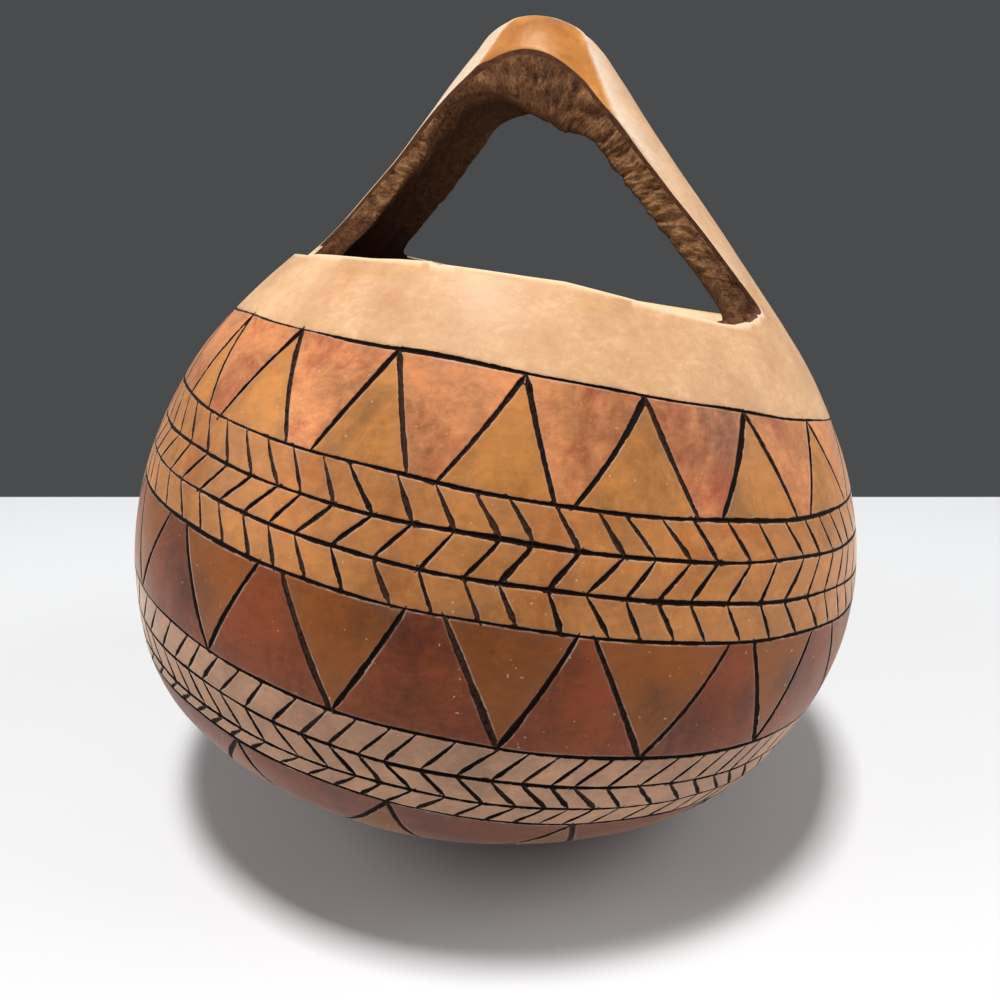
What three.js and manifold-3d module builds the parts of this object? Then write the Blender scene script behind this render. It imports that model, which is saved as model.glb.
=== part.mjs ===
// Gourd basket: one dried bottle gourd, cut open on both sides of its stem end so that a strap of
// shell stays standing over the bowl as its handle. The shell has a thin hard rind over a thick
// fibrous flesh. Millimetres, +Z up. The origin is on the flat that the basket rests on, and the
// gourd leans to +X on it, as it stands in real life.

import * as THREE from 'three';
import { mergeVertices } from 'three/addons/utils/BufferGeometryUtils.js';
import Module from 'manifold-3d';

// Form of the gourd, measured along its own axis from its widest ring
const BELLY_RADIUS = 115;
const FOOT_DEPTH = 96;
const TIP_HEIGHT = 146;
// Outline below and above the widest ring: share of the belly radius, share of the depth or height
const FORM_BELOW = [[0, 1], [0.313, 0.969], [0.609, 0.839], [0.883, 0.599], [0.99, 0.3], [1, 0]];
const FORM_ABOVE = [
  [0.928, 0.197], [0.782, 0.394], [0.566, 0.59], [0.332, 0.788], [0.208, 0.906], [0.137, 0.968],
  [0.05, 1], [0, 1],
];
// The gourd grew slightly crooked: sideways shift of its foot and tip against the widest ring
const FOOT_SHIFT_X = -13;
const FOOT_SHIFT_Y = -8;
const TIP_SHIFT_X = -14;
const TIP_SHIFT_Y = 0;
// Above the belly its left flank grew flatter: share that is lost, and where that starts, is full,
// eases and ends, as shares of the tip's height; and how far from the middle it is full
const FLANK_FALL = 0.1;
const FLANK_START = 0.22;
const FLANK_FULL = 0.575;
const FLANK_EASE = 0.66;
const FLANK_END = 0.863;
const FLANK_BLEND = 25;

// Stance
const LEAN_DEGREES = 10.2;
const FLAT_DEPTH = 3.5;

// Shell
const SHELL_THICKNESS = 8;
const RIND_THICKNESS = 1.2;
const FIT_GAP = 0.3;
const CROWN_THICKNESS = 20;
const CROWN_DOME_RISE = 11.5;

// Handle and mouth: the strap lies between a front and a back saw cut
const STRAP_TURN_DEGREES = -19.2;
const STRAP_FRONT = 26;
const STRAP_BACK_AT_CROWN = 9;
const STRAP_BACK_AT_RIM = 12;
const FRONT_RIM_HEIGHT = 70;
const BACK_RIM_RISE = 4;
const CUT_CORNER_RADIUS = 6;
const EAR_MARGIN = 1;

// Corky scar where the stem was, set into the rind at the tip
const STEM_SCAR_RADIUS = 5;
const STEM_SCAR_PROUD = 0.8;

// Carving: gouged V lines. Angles run round the gourd from the carved front, anticlockwise from above
const CARVED_FRONT_DEGREES = -92.67;
const GROOVE_WIDTH = 1.2;
const GROOVE_DEPTH = 0.55;
// How far the gouge's own shape stands out past the skin, so that it clears the skin's bulges
const GOUGE_CLEARANCE = 1.5;
// The four level lines that hold the two rows of triangles: height, and sway towards the right and
// towards the front, as shares of the belly radius. The finer herringbones are left to the finish.
const LEVEL_LINES = {
  top: [0.411, -0.001, 0.028],
  upperFoot: [0.259, 0.011, -0.031],
  lowerTop: [0.005, 0.007, 0.004],
  points: [-0.227, -0.014, -0.002],
};
// Triangles on the front, which the hand spaced unevenly: point, left foot and right foot in degrees
const UPPER_TRIANGLES = [
  [-51.8, -54.6, -46], [-35.9, -42.3, -28.4], [-18.1, -24.7, -12], [-0.5, -8.6, 4.9],
  [15.7, 7, 22.4], [32.2, 25.7, 39.7], [49, 42.8, 57.5],
];
const UPPER_TRIANGLE_COUNT = 21;
const UPPER_TRIANGLE_REACH = 7;
const LOWER_TRIANGLES = [
  [-51.4, -58.4, -45], [-32.2, -40.5, -26.6], [-14, -23.4, -8.5], [4.4, -4.4, 9.6],
  [20.9, 11.4, 28.2], [38.8, 31.8, 43.6],
];
const LOWER_TRIANGLE_COUNT = 20;
const LOWER_TRIANGLE_REACH = 7.4;
// How far the hand strayed from even spacing on the other sides
const HAND_SWAY_DEGREES = 0.9;

// Facets
const SEGMENTS_AROUND = 48;
const STEPS_PER_SPAN = 2;
const DOME_STEPS = 3;
const CORNER_STEPS = 4;
// The shortest span of a stroke that gets a section of its own
const STROKE_SPAN = 2;
const SCAR_SIDES = 12;
const LOWEST_POINT_STEPS = 240;
const WELD_TOLERANCE = 1e-4;
const SLIVER_TOLERANCE = 0.05;

// A length that is past the whole gourd on every side, for the cutting shapes
const REACH = 3 * BELLY_RADIUS;
const BACK_RIM_HEIGHT = FRONT_RIM_HEIGHT + BACK_RIM_RISE;
const EAR_HEIGHT = BACK_RIM_HEIGHT + CUT_CORNER_RADIUS + EAR_MARGIN;
const CAVITY_TOP = TIP_HEIGHT - CROWN_THICKNESS;
const UP = new THREE.Vector3(0, 0, 1);
const STRAP_TURN = THREE.MathUtils.degToRad(STRAP_TURN_DEGREES);
const STRAP_ACROSS = new THREE.Vector3(0, -1, 0).applyAxisAngle(UP, STRAP_TURN);
const STRAP_LEFT = new THREE.Vector3().crossVectors(STRAP_ACROSS, UP);

const wasm = await Module();
wasm.setup();

// Solids

function toSolid(geometry) {
  const bare = geometry.clone();
  bare.deleteAttribute('normal');
  bare.deleteAttribute('uv');
  const merged = mergeVertices(bare, WELD_TOLERANCE);
  return new wasm.Manifold(new wasm.Mesh({
    numProp: 3,
    vertProperties: new Float32Array(merged.attributes.position.array),
    triVerts: new Uint32Array(merged.index.array),
  }));
}

function toGeometry(solid) {
  const mesh = solid.getMesh();
  const geometry = new THREE.BufferGeometry();
  geometry.setAttribute('position', new THREE.BufferAttribute(new Float32Array(mesh.vertProperties), 3));
  geometry.setIndex(new THREE.BufferAttribute(new Uint32Array(mesh.triVerts), 1));
  geometry.computeVertexNormals();
  return geometry;
}

// Sideways shift of the gourd's middle at a height along its axis: a parabola through foot, ring and tip
function bendAt(height, footShift, tipShift) {
  const foot = -footShift / FOOT_DEPTH;
  const tip = tipShift / TIP_HEIGHT;
  const curve = (tip - foot) / (FOOT_DEPTH + TIP_HEIGHT);
  return height * (foot + curve * (height + FOOT_DEPTH));
}

// Share of its reach to the left that a point loses on the flatter flank
function flankFallAt(height, toLeft) {
  const rising = THREE.MathUtils.smoothstep(height, FLANK_START * TIP_HEIGHT, FLANK_FULL * TIP_HEIGHT);
  const ending = THREE.MathUtils.smoothstep(height, FLANK_EASE * TIP_HEIGHT, FLANK_END * TIP_HEIGHT);
  return FLANK_FALL * rising * (1 - ending) * THREE.MathUtils.smoothstep(toLeft, 0, FLANK_BLEND);
}

// Moves a point of the straight round form to where it lies on the crooked gourd
function grow(point) {
  const height = point.z;
  point.x += bendAt(height, FOOT_SHIFT_X, TIP_SHIFT_X);
  point.y += bendAt(height, FOOT_SHIFT_Y, TIP_SHIFT_Y);
  const toLeft = point.dot(STRAP_LEFT);
  return point.addScaledVector(STRAP_LEFT, -toLeft * flankFallAt(height, toLeft));
}

function growAll(geometry) {
  const position = geometry.attributes.position;
  const point = new THREE.Vector3();
  for (let i = 0; i < position.count; i += 1) {
    grow(point.fromBufferAttribute(position, i));
    position.setXYZ(i, point.x, point.y, point.z);
  }
  return geometry;
}

const outlineCurve = new THREE.SplineCurve([
  ...FORM_BELOW.map(([radius, depth]) => new THREE.Vector2(radius * BELLY_RADIUS, -depth * FOOT_DEPTH)),
  ...FORM_ABOVE.map(([radius, height]) => new THREE.Vector2(radius * BELLY_RADIUS, height * TIP_HEIGHT)),
]);

// The outline moved into the shell by a depth, square to the surface
function outlineAtDepth(depth) {
  const steps = STEPS_PER_SPAN * (outlineCurve.points.length - 1);
  const points = [];
  for (let i = 0; i <= steps; i += 1) {
    const onSkin = outlineCurve.getPoint(i / steps);
    const along = outlineCurve.getTangent(i / steps);
    const onAxis = i === 0 || i === steps;
    points.push(onAxis
      ? new THREE.Vector2(0, onSkin.y + (i === 0 ? depth : -depth))
      : new THREE.Vector2(onSkin.x - along.y * depth, onSkin.y + along.x * depth));
  }
  return points;
}

// The hollow's outline follows the shell and closes in a low dome under the thick crown
function cavityOutline() {
  const domeStart = CAVITY_TOP - CROWN_DOME_RISE;
  const points = outlineAtDepth(SHELL_THICKNESS).filter((point) => point.y <= domeStart);
  const last = points[points.length - 1];
  const rise = CAVITY_TOP - last.y;
  for (let i = 1; i <= DOME_STEPS; i += 1) {
    const share = 1 - i / DOME_STEPS;
    points.push(new THREE.Vector2(last.x * share, last.y + rise * (1 - share * share)));
  }
  return points;
}

function turnedSolid(outline) {
  const geometry = new THREE.LatheGeometry(outline, SEGMENTS_AROUND);
  geometry.rotateX(Math.PI / 2);
  return toSolid(growAll(geometry));
}

// Everything on the far side of a saw cut: beyond the strap's face and above the rim, with a round
// corner between them. The section lies across the strap and the cut runs along it.
function mouthCut(side, faceAtRim, faceAtCrown, rimHeight) {
  const slope = (faceAtCrown - faceAtRim) / (CAVITY_TOP - rimHeight);
  const faceAt = (height) => faceAtRim + slope * (height - rimHeight);
  const top = TIP_HEIGHT + CUT_CORNER_RADIUS;
  const cornerTop = rimHeight + CUT_CORNER_RADIUS;
  const section = [new THREE.Vector2(side * faceAt(top), top)];
  for (let i = 0; i <= CORNER_STEPS; i += 1) {
    const angle = (i / CORNER_STEPS) * (Math.PI / 2);
    section.push(new THREE.Vector2(
      side * (faceAt(cornerTop) + CUT_CORNER_RADIUS * (1 - Math.cos(angle))),
      cornerTop - CUT_CORNER_RADIUS * Math.sin(angle),
    ));
  }
  section.push(new THREE.Vector2(side * REACH, rimHeight), new THREE.Vector2(side * REACH, top));
  const shape = new THREE.Shape(section);
  const geometry = new THREE.ExtrudeGeometry(shape, { depth: 2 * REACH, bevelEnabled: false });
  geometry.translate(0, 0, -REACH);
  geometry.applyMatrix4(new THREE.Matrix4().makeBasis(STRAP_ACROSS, UP, STRAP_LEFT));
  return toSolid(geometry);
}

function slab(fromHeight, toHeight) {
  const geometry = new THREE.BoxGeometry(2 * REACH, 2 * REACH, toHeight - fromHeight);
  geometry.translate(0, 0, (fromHeight + toHeight) / 2);
  return toSolid(geometry);
}

// Stance: the gourd's own axis leans, and its lowest skin is rubbed flat to rest on

const stance = new THREE.Group();
stance.rotation.y = THREE.MathUtils.degToRad(LEAN_DEGREES);
stance.updateMatrixWorld();

function lowestSkinPoint() {
  const geometry = new THREE.LatheGeometry(outlineCurve.getPoints(LOWEST_POINT_STEPS), LOWEST_POINT_STEPS);
  geometry.rotateX(Math.PI / 2);
  growAll(geometry).applyMatrix4(stance.matrixWorld);
  const position = geometry.attributes.position;
  let lowest = new THREE.Vector3(0, 0, Infinity);
  for (let i = 0; i < position.count; i += 1) {
    if (position.getZ(i) < lowest.z) lowest = new THREE.Vector3().fromBufferAttribute(position, i);
  }
  return lowest;
}

const lowest = lowestSkinPoint();
stance.position.set(-lowest.x, -lowest.y, -lowest.z - FLAT_DEPTH);
stance.updateMatrixWorld();

// All that lies under a level height of the resting frame, in the gourd's own frame
function below(level) {
  const geometry = new THREE.BoxGeometry(2 * REACH, 2 * REACH, REACH);
  geometry.translate(0, 0, level - REACH / 2);
  geometry.applyMatrix4(stance.matrixWorld.clone().invert());
  return toSolid(geometry);
}

// Carved lines, cut into the facets of the skin

const skinOutline = outlineAtDepth(0);

function outlineSpan(height) {
  const next = skinOutline.findIndex((point) => point.y > height);
  return [skinOutline[next - 1], skinOutline[next]];
}

// A gouge's section on the skin: its bed in the rind and its two sides out past the skin
function gougeSection(angle, height, sideways) {
  const [lower, upper] = outlineSpan(height);
  const azimuth = THREE.MathUtils.degToRad(angle + CARVED_FRONT_DEGREES);
  const facet = (2 * Math.PI) / SEGMENTS_AROUND;
  const inFacet = THREE.MathUtils.euclideanModulo(azimuth, facet) - facet / 2;
  const onCorner = lower.x + (upper.x - lower.x) * ((height - lower.y) / (upper.y - lower.y));
  const radius = onCorner * (Math.cos(facet / 2) / Math.cos(inFacet));
  const rise = new THREE.Vector2().subVectors(upper, lower).normalize();
  const outward = new THREE.Vector3(Math.cos(azimuth), Math.sin(azimuth), 0);
  const onward = new THREE.Vector3(-outward.y, outward.x, 0);
  const upward = outward.clone().multiplyScalar(rise.x).addScaledVector(UP, rise.y);
  const out = outward.clone().multiplyScalar(rise.y).addScaledVector(UP, -rise.x);
  const side = onward.multiplyScalar(sideways.x).addScaledVector(upward, sideways.y);
  side.multiplyScalar((GROOVE_WIDTH / 2) * (1 + GOUGE_CLEARANCE / GROOVE_DEPTH));
  const onSkin = outward.clone().multiplyScalar(radius).addScaledVector(UP, height);
  const above = onSkin.clone().addScaledVector(out, GOUGE_CLEARANCE);
  return [onSkin.addScaledVector(out, -GROOVE_DEPTH), above.clone().add(side), above.sub(side)].map(grow);
}

// The solid that a gouge takes away along a run of sections, which a level line closes to a ring
function gouge(sections, closed) {
  const index = [];
  const spans = closed ? sections.length : sections.length - 1;
  for (let i = 0; i < spans; i += 1) {
    const here = 3 * i;
    const next = 3 * ((i + 1) % sections.length);
    for (let k = 0; k < 3; k += 1) {
      const m = (k + 1) % 3;
      index.push(here + k, next + k, next + m, here + k, next + m, here + m);
    }
  }
  if (!closed) {
    const last = 3 * (sections.length - 1);
    index.push(0, 1, 2, last + 2, last + 1, last);
  }
  const geometry = new THREE.BufferGeometry().setFromPoints(sections.flat());
  return toSolid(geometry.setIndex(index));
}

function levelAt(line, angle) {
  const [height, toRight, toFront] = LEVEL_LINES[line];
  const turn = THREE.MathUtils.degToRad(angle);
  return BELLY_RADIUS * (height + toRight * Math.sin(turn) + toFront * Math.cos(turn));
}

function levelGroove(line) {
  const sections = [];
  for (let i = 0; i < SEGMENTS_AROUND; i += 1) {
    const angle = (360 * i) / SEGMENTS_AROUND - CARVED_FRONT_DEGREES;
    sections.push(gougeSection(angle, levelAt(line, angle), new THREE.Vector2(0, -1)));
  }
  return gouge(sections, true);
}

// Shares of a stroke's way at which it starts, crosses an edge of the skin's facets, and ends
function facetCrossings(azimuth, turn, start, rise, least) {
  const facet = 360 / SEGMENTS_AROUND;
  const firstEdge = Math.ceil(Math.min(azimuth, azimuth + turn) / facet);
  const lastEdge = Math.floor(Math.max(azimuth, azimuth + turn) / facet);
  const shares = skinOutline.map((point) => (point.y - start) / rise);
  for (let edge = firstEdge; edge <= lastEdge; edge += 1) shares.push((edge * facet - azimuth) / turn);
  const inside = shares.filter((share) => share > least && share < 1 - least).sort((a, b) => a - b);
  return [0, ...inside.filter((share, i) => i === 0 || share - inside[i - 1] > least), 1];
}

function strokeGroove(fromAngle, fromLine, toAngle, toLine) {
  const turn = toAngle - fromAngle;
  const start = levelAt(fromLine, fromAngle);
  const rise = levelAt(toLine, toAngle) - start;
  const over = THREE.MathUtils.degToRad(turn) * BELLY_RADIUS;
  const sideways = new THREE.Vector2(rise, -over).normalize();
  const least = STROKE_SPAN / Math.hypot(over, rise);
  const shares = facetCrossings(fromAngle + CARVED_FRONT_DEGREES, turn, start, rise, least);
  const sectionAt = (share) => gougeSection(fromAngle + turn * share, start + rise * share, sideways);
  return gouge(shares.map(sectionAt), false);
}

// The triangles of the front, carried on round the other sides at an even pace
function triangleRing(seen, count, reach) {
  const last = seen[seen.length - 1][0];
  const pace = (seen[0][0] + 360 - last) / (count - seen.length + 1);
  const others = Array.from({ length: count - seen.length }, (_, i) => {
    const point = last + pace * (i + 1) + HAND_SWAY_DEGREES * Math.sin(2 * i);
    return [point, point - reach, point + reach];
  });
  return [...seen, ...others];
}

function triangleGrooves(triangles, footLine, pointLine) {
  return triangles.flatMap(([point, ...feet]) => (
    feet.map((foot) => strokeGroove(foot, footLine, point, pointLine))
  ));
}

const grooves = wasm.Manifold.union([
  ...Object.keys(LEVEL_LINES).map(levelGroove),
  ...triangleGrooves(
    triangleRing(UPPER_TRIANGLES, UPPER_TRIANGLE_COUNT, UPPER_TRIANGLE_REACH), 'upperFoot', 'top',
  ),
  ...triangleGrooves(
    triangleRing(LOWER_TRIANGLES, LOWER_TRIANGLE_COUNT, LOWER_TRIANGLE_REACH), 'lowerTop', 'points',
  ),
]);

// Shell layers

const skin = turnedSolid(skinOutline);
const underSkin = turnedSolid(outlineAtDepth(RIND_THICKNESS));
const fleshFace = turnedSolid(outlineAtDepth(RIND_THICKNESS + FIT_GAP));
const hollow = turnedSolid(cavityOutline());
const frontCut = mouthCut(1, STRAP_FRONT, STRAP_FRONT, FRONT_RIM_HEIGHT);
const backCut = mouthCut(-1, STRAP_BACK_AT_RIM, STRAP_BACK_AT_CROWN, BACK_RIM_HEIGHT);
const bowlSpace = slab(-REACH, EAR_HEIGHT);
const handleSpace = slab(EAR_HEIGHT + FIT_GAP, REACH);

function scarDisc(radius, bottom, top) {
  const geometry = new THREE.CylinderGeometry(radius, radius, top - bottom, SCAR_SIDES);
  geometry.rotateX(Math.PI / 2);
  geometry.translate(TIP_SHIFT_X, TIP_SHIFT_Y, (bottom + top) / 2);
  return geometry;
}

const stemHole = toSolid(scarDisc(STEM_SCAR_RADIUS + FIT_GAP, CAVITY_TOP, TIP_HEIGHT + CUT_CORNER_RADIUS));

const rind = skin.subtract(underSkin).subtract(frontCut).subtract(backCut);
const flesh = fleshFace.subtract(hollow).subtract(frontCut).subtract(backCut);

// Finishes

function gourdFinish(color, roughness) {
  return new THREE.MeshStandardMaterial({ color, roughness, metalness: 0 });
}

function addPiece(name, geometry, material) {
  const mesh = new THREE.Mesh(geometry, material);
  mesh.name = name;
  stance.add(mesh);
}

const plainBowlRind = rind.intersect(bowlSpace).subtract(below(FIT_GAP));
const bowlRind = plainBowlRind.subtract(grooves).simplify(SLIVER_TOLERANCE);
addPiece('bowl_rind', toGeometry(bowlRind), gourdFinish(0xc98a52, 0.45));
addPiece('bowl_flesh', toGeometry(flesh.intersect(bowlSpace).subtract(below(0))), gourdFinish(0x7a5233, 0.9));
const handleRind = rind.intersect(handleSpace).subtract(stemHole);
addPiece('handle_rind', toGeometry(handleRind), gourdFinish(0xd9a469, 0.4));
addPiece('handle_flesh', toGeometry(flesh.intersect(handleSpace)), gourdFinish(0x6b452b, 0.9));
addPiece(
  'stem_scar',
  scarDisc(STEM_SCAR_RADIUS, TIP_HEIGHT - RIND_THICKNESS, TIP_HEIGHT + STEM_SCAR_PROUD),
  gourdFinish(0x8a6038, 0.95),
);

const basket = new THREE.Group();
basket.name = 'gourd_basket';
basket.add(stance);

export default basket;
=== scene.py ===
"""Dresses the gourd basket: its carved and stained skin, its thick fibrous wall and its strap handle.

The form is one dried gourd. Sizes are in millimetres and angles in degrees, measured in the gourd's own
frame: heights run along its axis from its widest ring, and angles run round it from the side that faces
the viewer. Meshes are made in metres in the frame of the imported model.
"""
import logging
import math
from dataclasses import dataclass, field
from enum import Enum

import bpy
import numpy as np
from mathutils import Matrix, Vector, noise
from mathutils.geometry import delaunay_2d_cdt


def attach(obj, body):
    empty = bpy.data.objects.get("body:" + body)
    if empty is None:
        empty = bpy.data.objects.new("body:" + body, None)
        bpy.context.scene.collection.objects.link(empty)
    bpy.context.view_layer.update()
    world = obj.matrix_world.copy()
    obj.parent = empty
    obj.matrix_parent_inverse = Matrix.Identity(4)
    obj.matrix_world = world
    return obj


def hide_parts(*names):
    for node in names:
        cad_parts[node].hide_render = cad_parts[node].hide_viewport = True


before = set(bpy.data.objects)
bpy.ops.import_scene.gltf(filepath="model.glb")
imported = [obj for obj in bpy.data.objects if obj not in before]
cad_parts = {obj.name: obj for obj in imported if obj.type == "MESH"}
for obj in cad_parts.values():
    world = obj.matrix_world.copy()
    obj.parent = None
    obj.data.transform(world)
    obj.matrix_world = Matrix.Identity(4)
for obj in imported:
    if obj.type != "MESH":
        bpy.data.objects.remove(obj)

MM = 0.001
FACING = -92.67
TINY = 1e-9
LAPS = (-360.0, 0.0, 360.0)
LOG = logging.getLogger("gourd_basket")
Array = np.ndarray
Socket = bpy.types.NodeSocket
Node = bpy.types.Node
Material = bpy.types.Material
Piece = bpy.types.Object


def ease(share: Array) -> Array:
    """Eases a share from 0 to 1."""
    share = np.clip(share, 0.0, 1.0)
    return share * share * (3.0 - 2.0 * share)


def read_table(places: Array | float, table: tuple) -> Array:
    """Reads a table of places and values."""
    return np.interp(places, *zip(*table))


def unevenness(points: Array, size: float, seed: float) -> Array:
    """Gives smooth grown unevenness at points.

    Args:
        points: Positions in millimetres, one row each.
        size: Width of one lump in millimetres.
        seed: Shifts the lumps.

    Returns:
        One value of about -1 to 1 for each point.
    """
    shift = Vector((seed, 1.7 * seed, -seed))
    return np.array([noise.noise(Vector(point) / size + shift) for point in points.tolist()])


@dataclass
class Profile:
    """An outline that is turned round the gourd's axis, with its length along the surface."""

    radius: Array
    height: Array
    arc: Array = field(init=False)
    slope: Array = field(init=False)

    def __post_init__(self) -> None:
        """Measures the length along the outline from the widest ring, and the outline's direction."""
        steps = np.hypot(np.diff(self.radius), np.diff(self.height))
        arc = np.concatenate([[0.0], np.cumsum(steps)])
        self.arc = arc - np.interp(0.0, self.height, arc)
        along = np.stack([np.gradient(self.radius, self.arc), np.gradient(self.height, self.arc)], 1)
        self.slope = along / np.linalg.norm(along, axis=1)[:, None]

    def radius_at(self, height: Array) -> Array:
        """Gives the radius at a height."""
        return np.interp(height, self.height, self.radius)

    def radius_along(self, arc: Array | float) -> Array:
        """Gives the radius at a length along the outline."""
        return np.interp(arc, self.arc, self.radius)

    def arc_at(self, height: Array) -> Array:
        """Gives the length along the outline at a height."""
        return np.interp(height, self.height, self.arc)

    def height_at(self, arc: Array) -> Array:
        """Gives the height at a length along the outline."""
        return np.interp(arc, self.arc, self.height)


@dataclass
class GourdForm:
    """The grown form: the outline, the slight crook and the lean."""

    belly_radius: float = 115.0
    foot_depth: float = 96.0
    tip_height: float = 146.0
    foot_shift: tuple[float, float] = (-13.0, -8.0)
    tip_shift: tuple[float, float] = (-14.0, 0.0)
    lean: float = 10.2
    belly_centre: tuple[float, float, float] = (-5.22, 7.69, 92.27)
    wall: float = 8.0
    hollow_top: float = 126.0
    flank_way: tuple[float, float] = (-0.944, 0.329)
    flank_fall: float = 0.1
    flank_levels: tuple = (32.1, 84.0, 96.4, 126.0)
    flank_blend: float = 25.0
    dome_rise: float = 11.5
    form_below: tuple = ((0, 1), (0.313, 0.969), (0.609, 0.839), (0.883, 0.599), (0.99, 0.3), (1, 0))
    form_above: tuple = (
        (0.928, 0.197), (0.782, 0.394), (0.566, 0.59), (0.332, 0.788), (0.208, 0.906), (0.137, 0.968),
        (0.05, 1), (0, 1),
    )
    samples: int = 24

    def stations(self) -> Array:
        """Gives the outline's stations as radius and height."""
        below = np.array(self.form_below) * (self.belly_radius, -self.foot_depth)
        above = np.array(self.form_above) * (self.belly_radius, self.tip_height)
        return np.concatenate([below, above])

    def outline(self, depth: float = 0.0) -> Profile:
        """Draws the smooth outline, moved into the wall.

        Args:
            depth: How far below the skin, square to it.

        Returns:
            The outline from the foot to the tip.
        """
        stations = self.stations()
        points, ways = [], []
        last = len(stations) - 1
        for i in range(last):
            before, start = stations[max(i - 1, 0)], stations[i]
            end, after = stations[i + 1], stations[min(i + 2, last)]
            leaving, arriving = (end - before) / 2, (after - start) / 2
            for share in np.linspace(0, 1, self.samples, endpoint=i == last - 1):
                cubic = 2 * start - 2 * end + leaving + arriving
                square = -3 * start + 3 * end - 2 * leaving - arriving
                points.append(cubic * share**3 + square * share**2 + leaving * share + start)
                ways.append(3 * cubic * share**2 + 2 * square * share + leaving)
        points, ways = np.array(points), np.array(ways)
        ways /= np.maximum(np.linalg.norm(ways, axis=1), TINY)[:, None]
        moved = points + depth * np.stack([-ways[:, 1], ways[:, 0]], 1)
        moved[:, 0] = np.maximum(moved[:, 0], 0.0)
        heights = np.maximum.accumulate(moved[:, 1] + 1e-6 * np.arange(len(moved)))
        return Profile(moved[:, 0], heights)

    def hollow(self) -> Profile:
        """Draws the inner face's outline, closed in a low dome under the crown."""
        wall = self.outline(self.wall)
        keep = wall.height <= self.hollow_top - self.dome_rise
        radius, height = wall.radius[keep], wall.height[keep]
        share = np.linspace(1, 0, 16)[1:]
        rise = self.hollow_top - height[-1]
        radius = np.concatenate([radius, radius[-1] * share])
        height = np.concatenate([height, height[-1] + rise * (1 - share**2)])
        return Profile(radius, height + 1e-6 * np.arange(len(height)))

    def crook(self, height: Array) -> Array:
        """Gives the sideways shift of the gourd's middle at a height, one row of x and y each."""
        height = np.asarray(height, float)
        shifts = []
        for foot_shift, tip_shift in zip(self.foot_shift, self.tip_shift):
            foot = -foot_shift / self.foot_depth
            tip = tip_shift / self.tip_height
            curve = (tip - foot) / (self.foot_depth + self.tip_height)
            shifts.append(height * (foot + curve * (height + self.foot_depth)))
        return np.stack(shifts, -1)

    def flatten_flank(self, local: Array) -> Array:
        """Moves the left flank in, where the gourd grew a little flatter.

        Args:
            local: Positions in millimetres in the gourd's own frame.

        Returns:
            The moved positions.
        """
        way = np.array(self.flank_way)
        start, full, held, end = self.flank_levels
        to_left = local[..., :2] @ way
        fall = self.flank_fall * ease((local[..., 2] - start) / (full - start))
        fall = fall * (1 - ease((local[..., 2] - held) / (end - held)))
        fall = fall * ease(to_left / self.flank_blend)
        return local - np.append(way, 0.0) * (to_left * fall)[..., None]

    def place(self, local: Array) -> Array:
        """Moves points from the gourd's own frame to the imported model's frame.

        Args:
            local: Positions in millimetres in the gourd's own frame.

        Returns:
            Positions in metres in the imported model's frame.
        """
        lean = math.radians(self.lean)
        turn = np.array([
            [math.cos(lean), 0, math.sin(lean)],
            [0, 1, 0],
            [-math.sin(lean), 0, math.cos(lean)],
        ])
        return (self.flatten_flank(local) @ turn.T + np.array(self.belly_centre)) * MM


@dataclass
class Turning:
    """A surface turned round the gourd's crooked axis."""

    form: GourdForm
    profile: Profile

    def at(self, angle: Array, arc: Array, sink: Array | float = 0.0) -> Array:
        """Gives points on the surface.

        Args:
            angle: Angles round the gourd from the viewer's side.
            arc: Lengths along the outline from the widest ring.
            sink: How far the points are pushed in, square to the surface.

        Returns:
            Positions in the gourd's own frame.
        """
        profile = self.profile
        height = profile.height_at(arc)
        out, rise = (np.interp(arc, profile.arc, profile.slope[:, i]) for i in (0, 1))
        azimuth = np.radians(angle + FACING)
        middle = self.form.crook(height)
        reach = profile.radius_along(arc) - sink * rise
        return np.stack([
            middle[..., 0] + reach * np.cos(azimuth),
            middle[..., 1] + reach * np.sin(azimuth),
            height + sink * out,
        ], -1)

    def normal(self, local: Array) -> Array:
        """Gives the outward direction of the surface at points on it."""
        middle = self.form.crook(local[..., 2])
        out = local[..., :2] - middle
        out /= np.maximum(np.linalg.norm(out, axis=-1), 1e-6)[..., None]
        profile = self.profile
        slope, rise = (np.interp(local[..., 2], profile.height, profile.slope[:, i]) for i in (0, 1))
        return np.concatenate([out * rise[..., None], -slope[..., None]], -1)

    def angle_of(self, local: Array) -> Array:
        """Gives the angle round the gourd of points, between -180 and 180."""
        middle = self.form.crook(local[..., 2])
        azimuth = np.degrees(np.arctan2(local[..., 1] - middle[..., 1], local[..., 0] - middle[..., 0]))
        return (azimuth - FACING + 180.0) % 360.0 - 180.0


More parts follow.
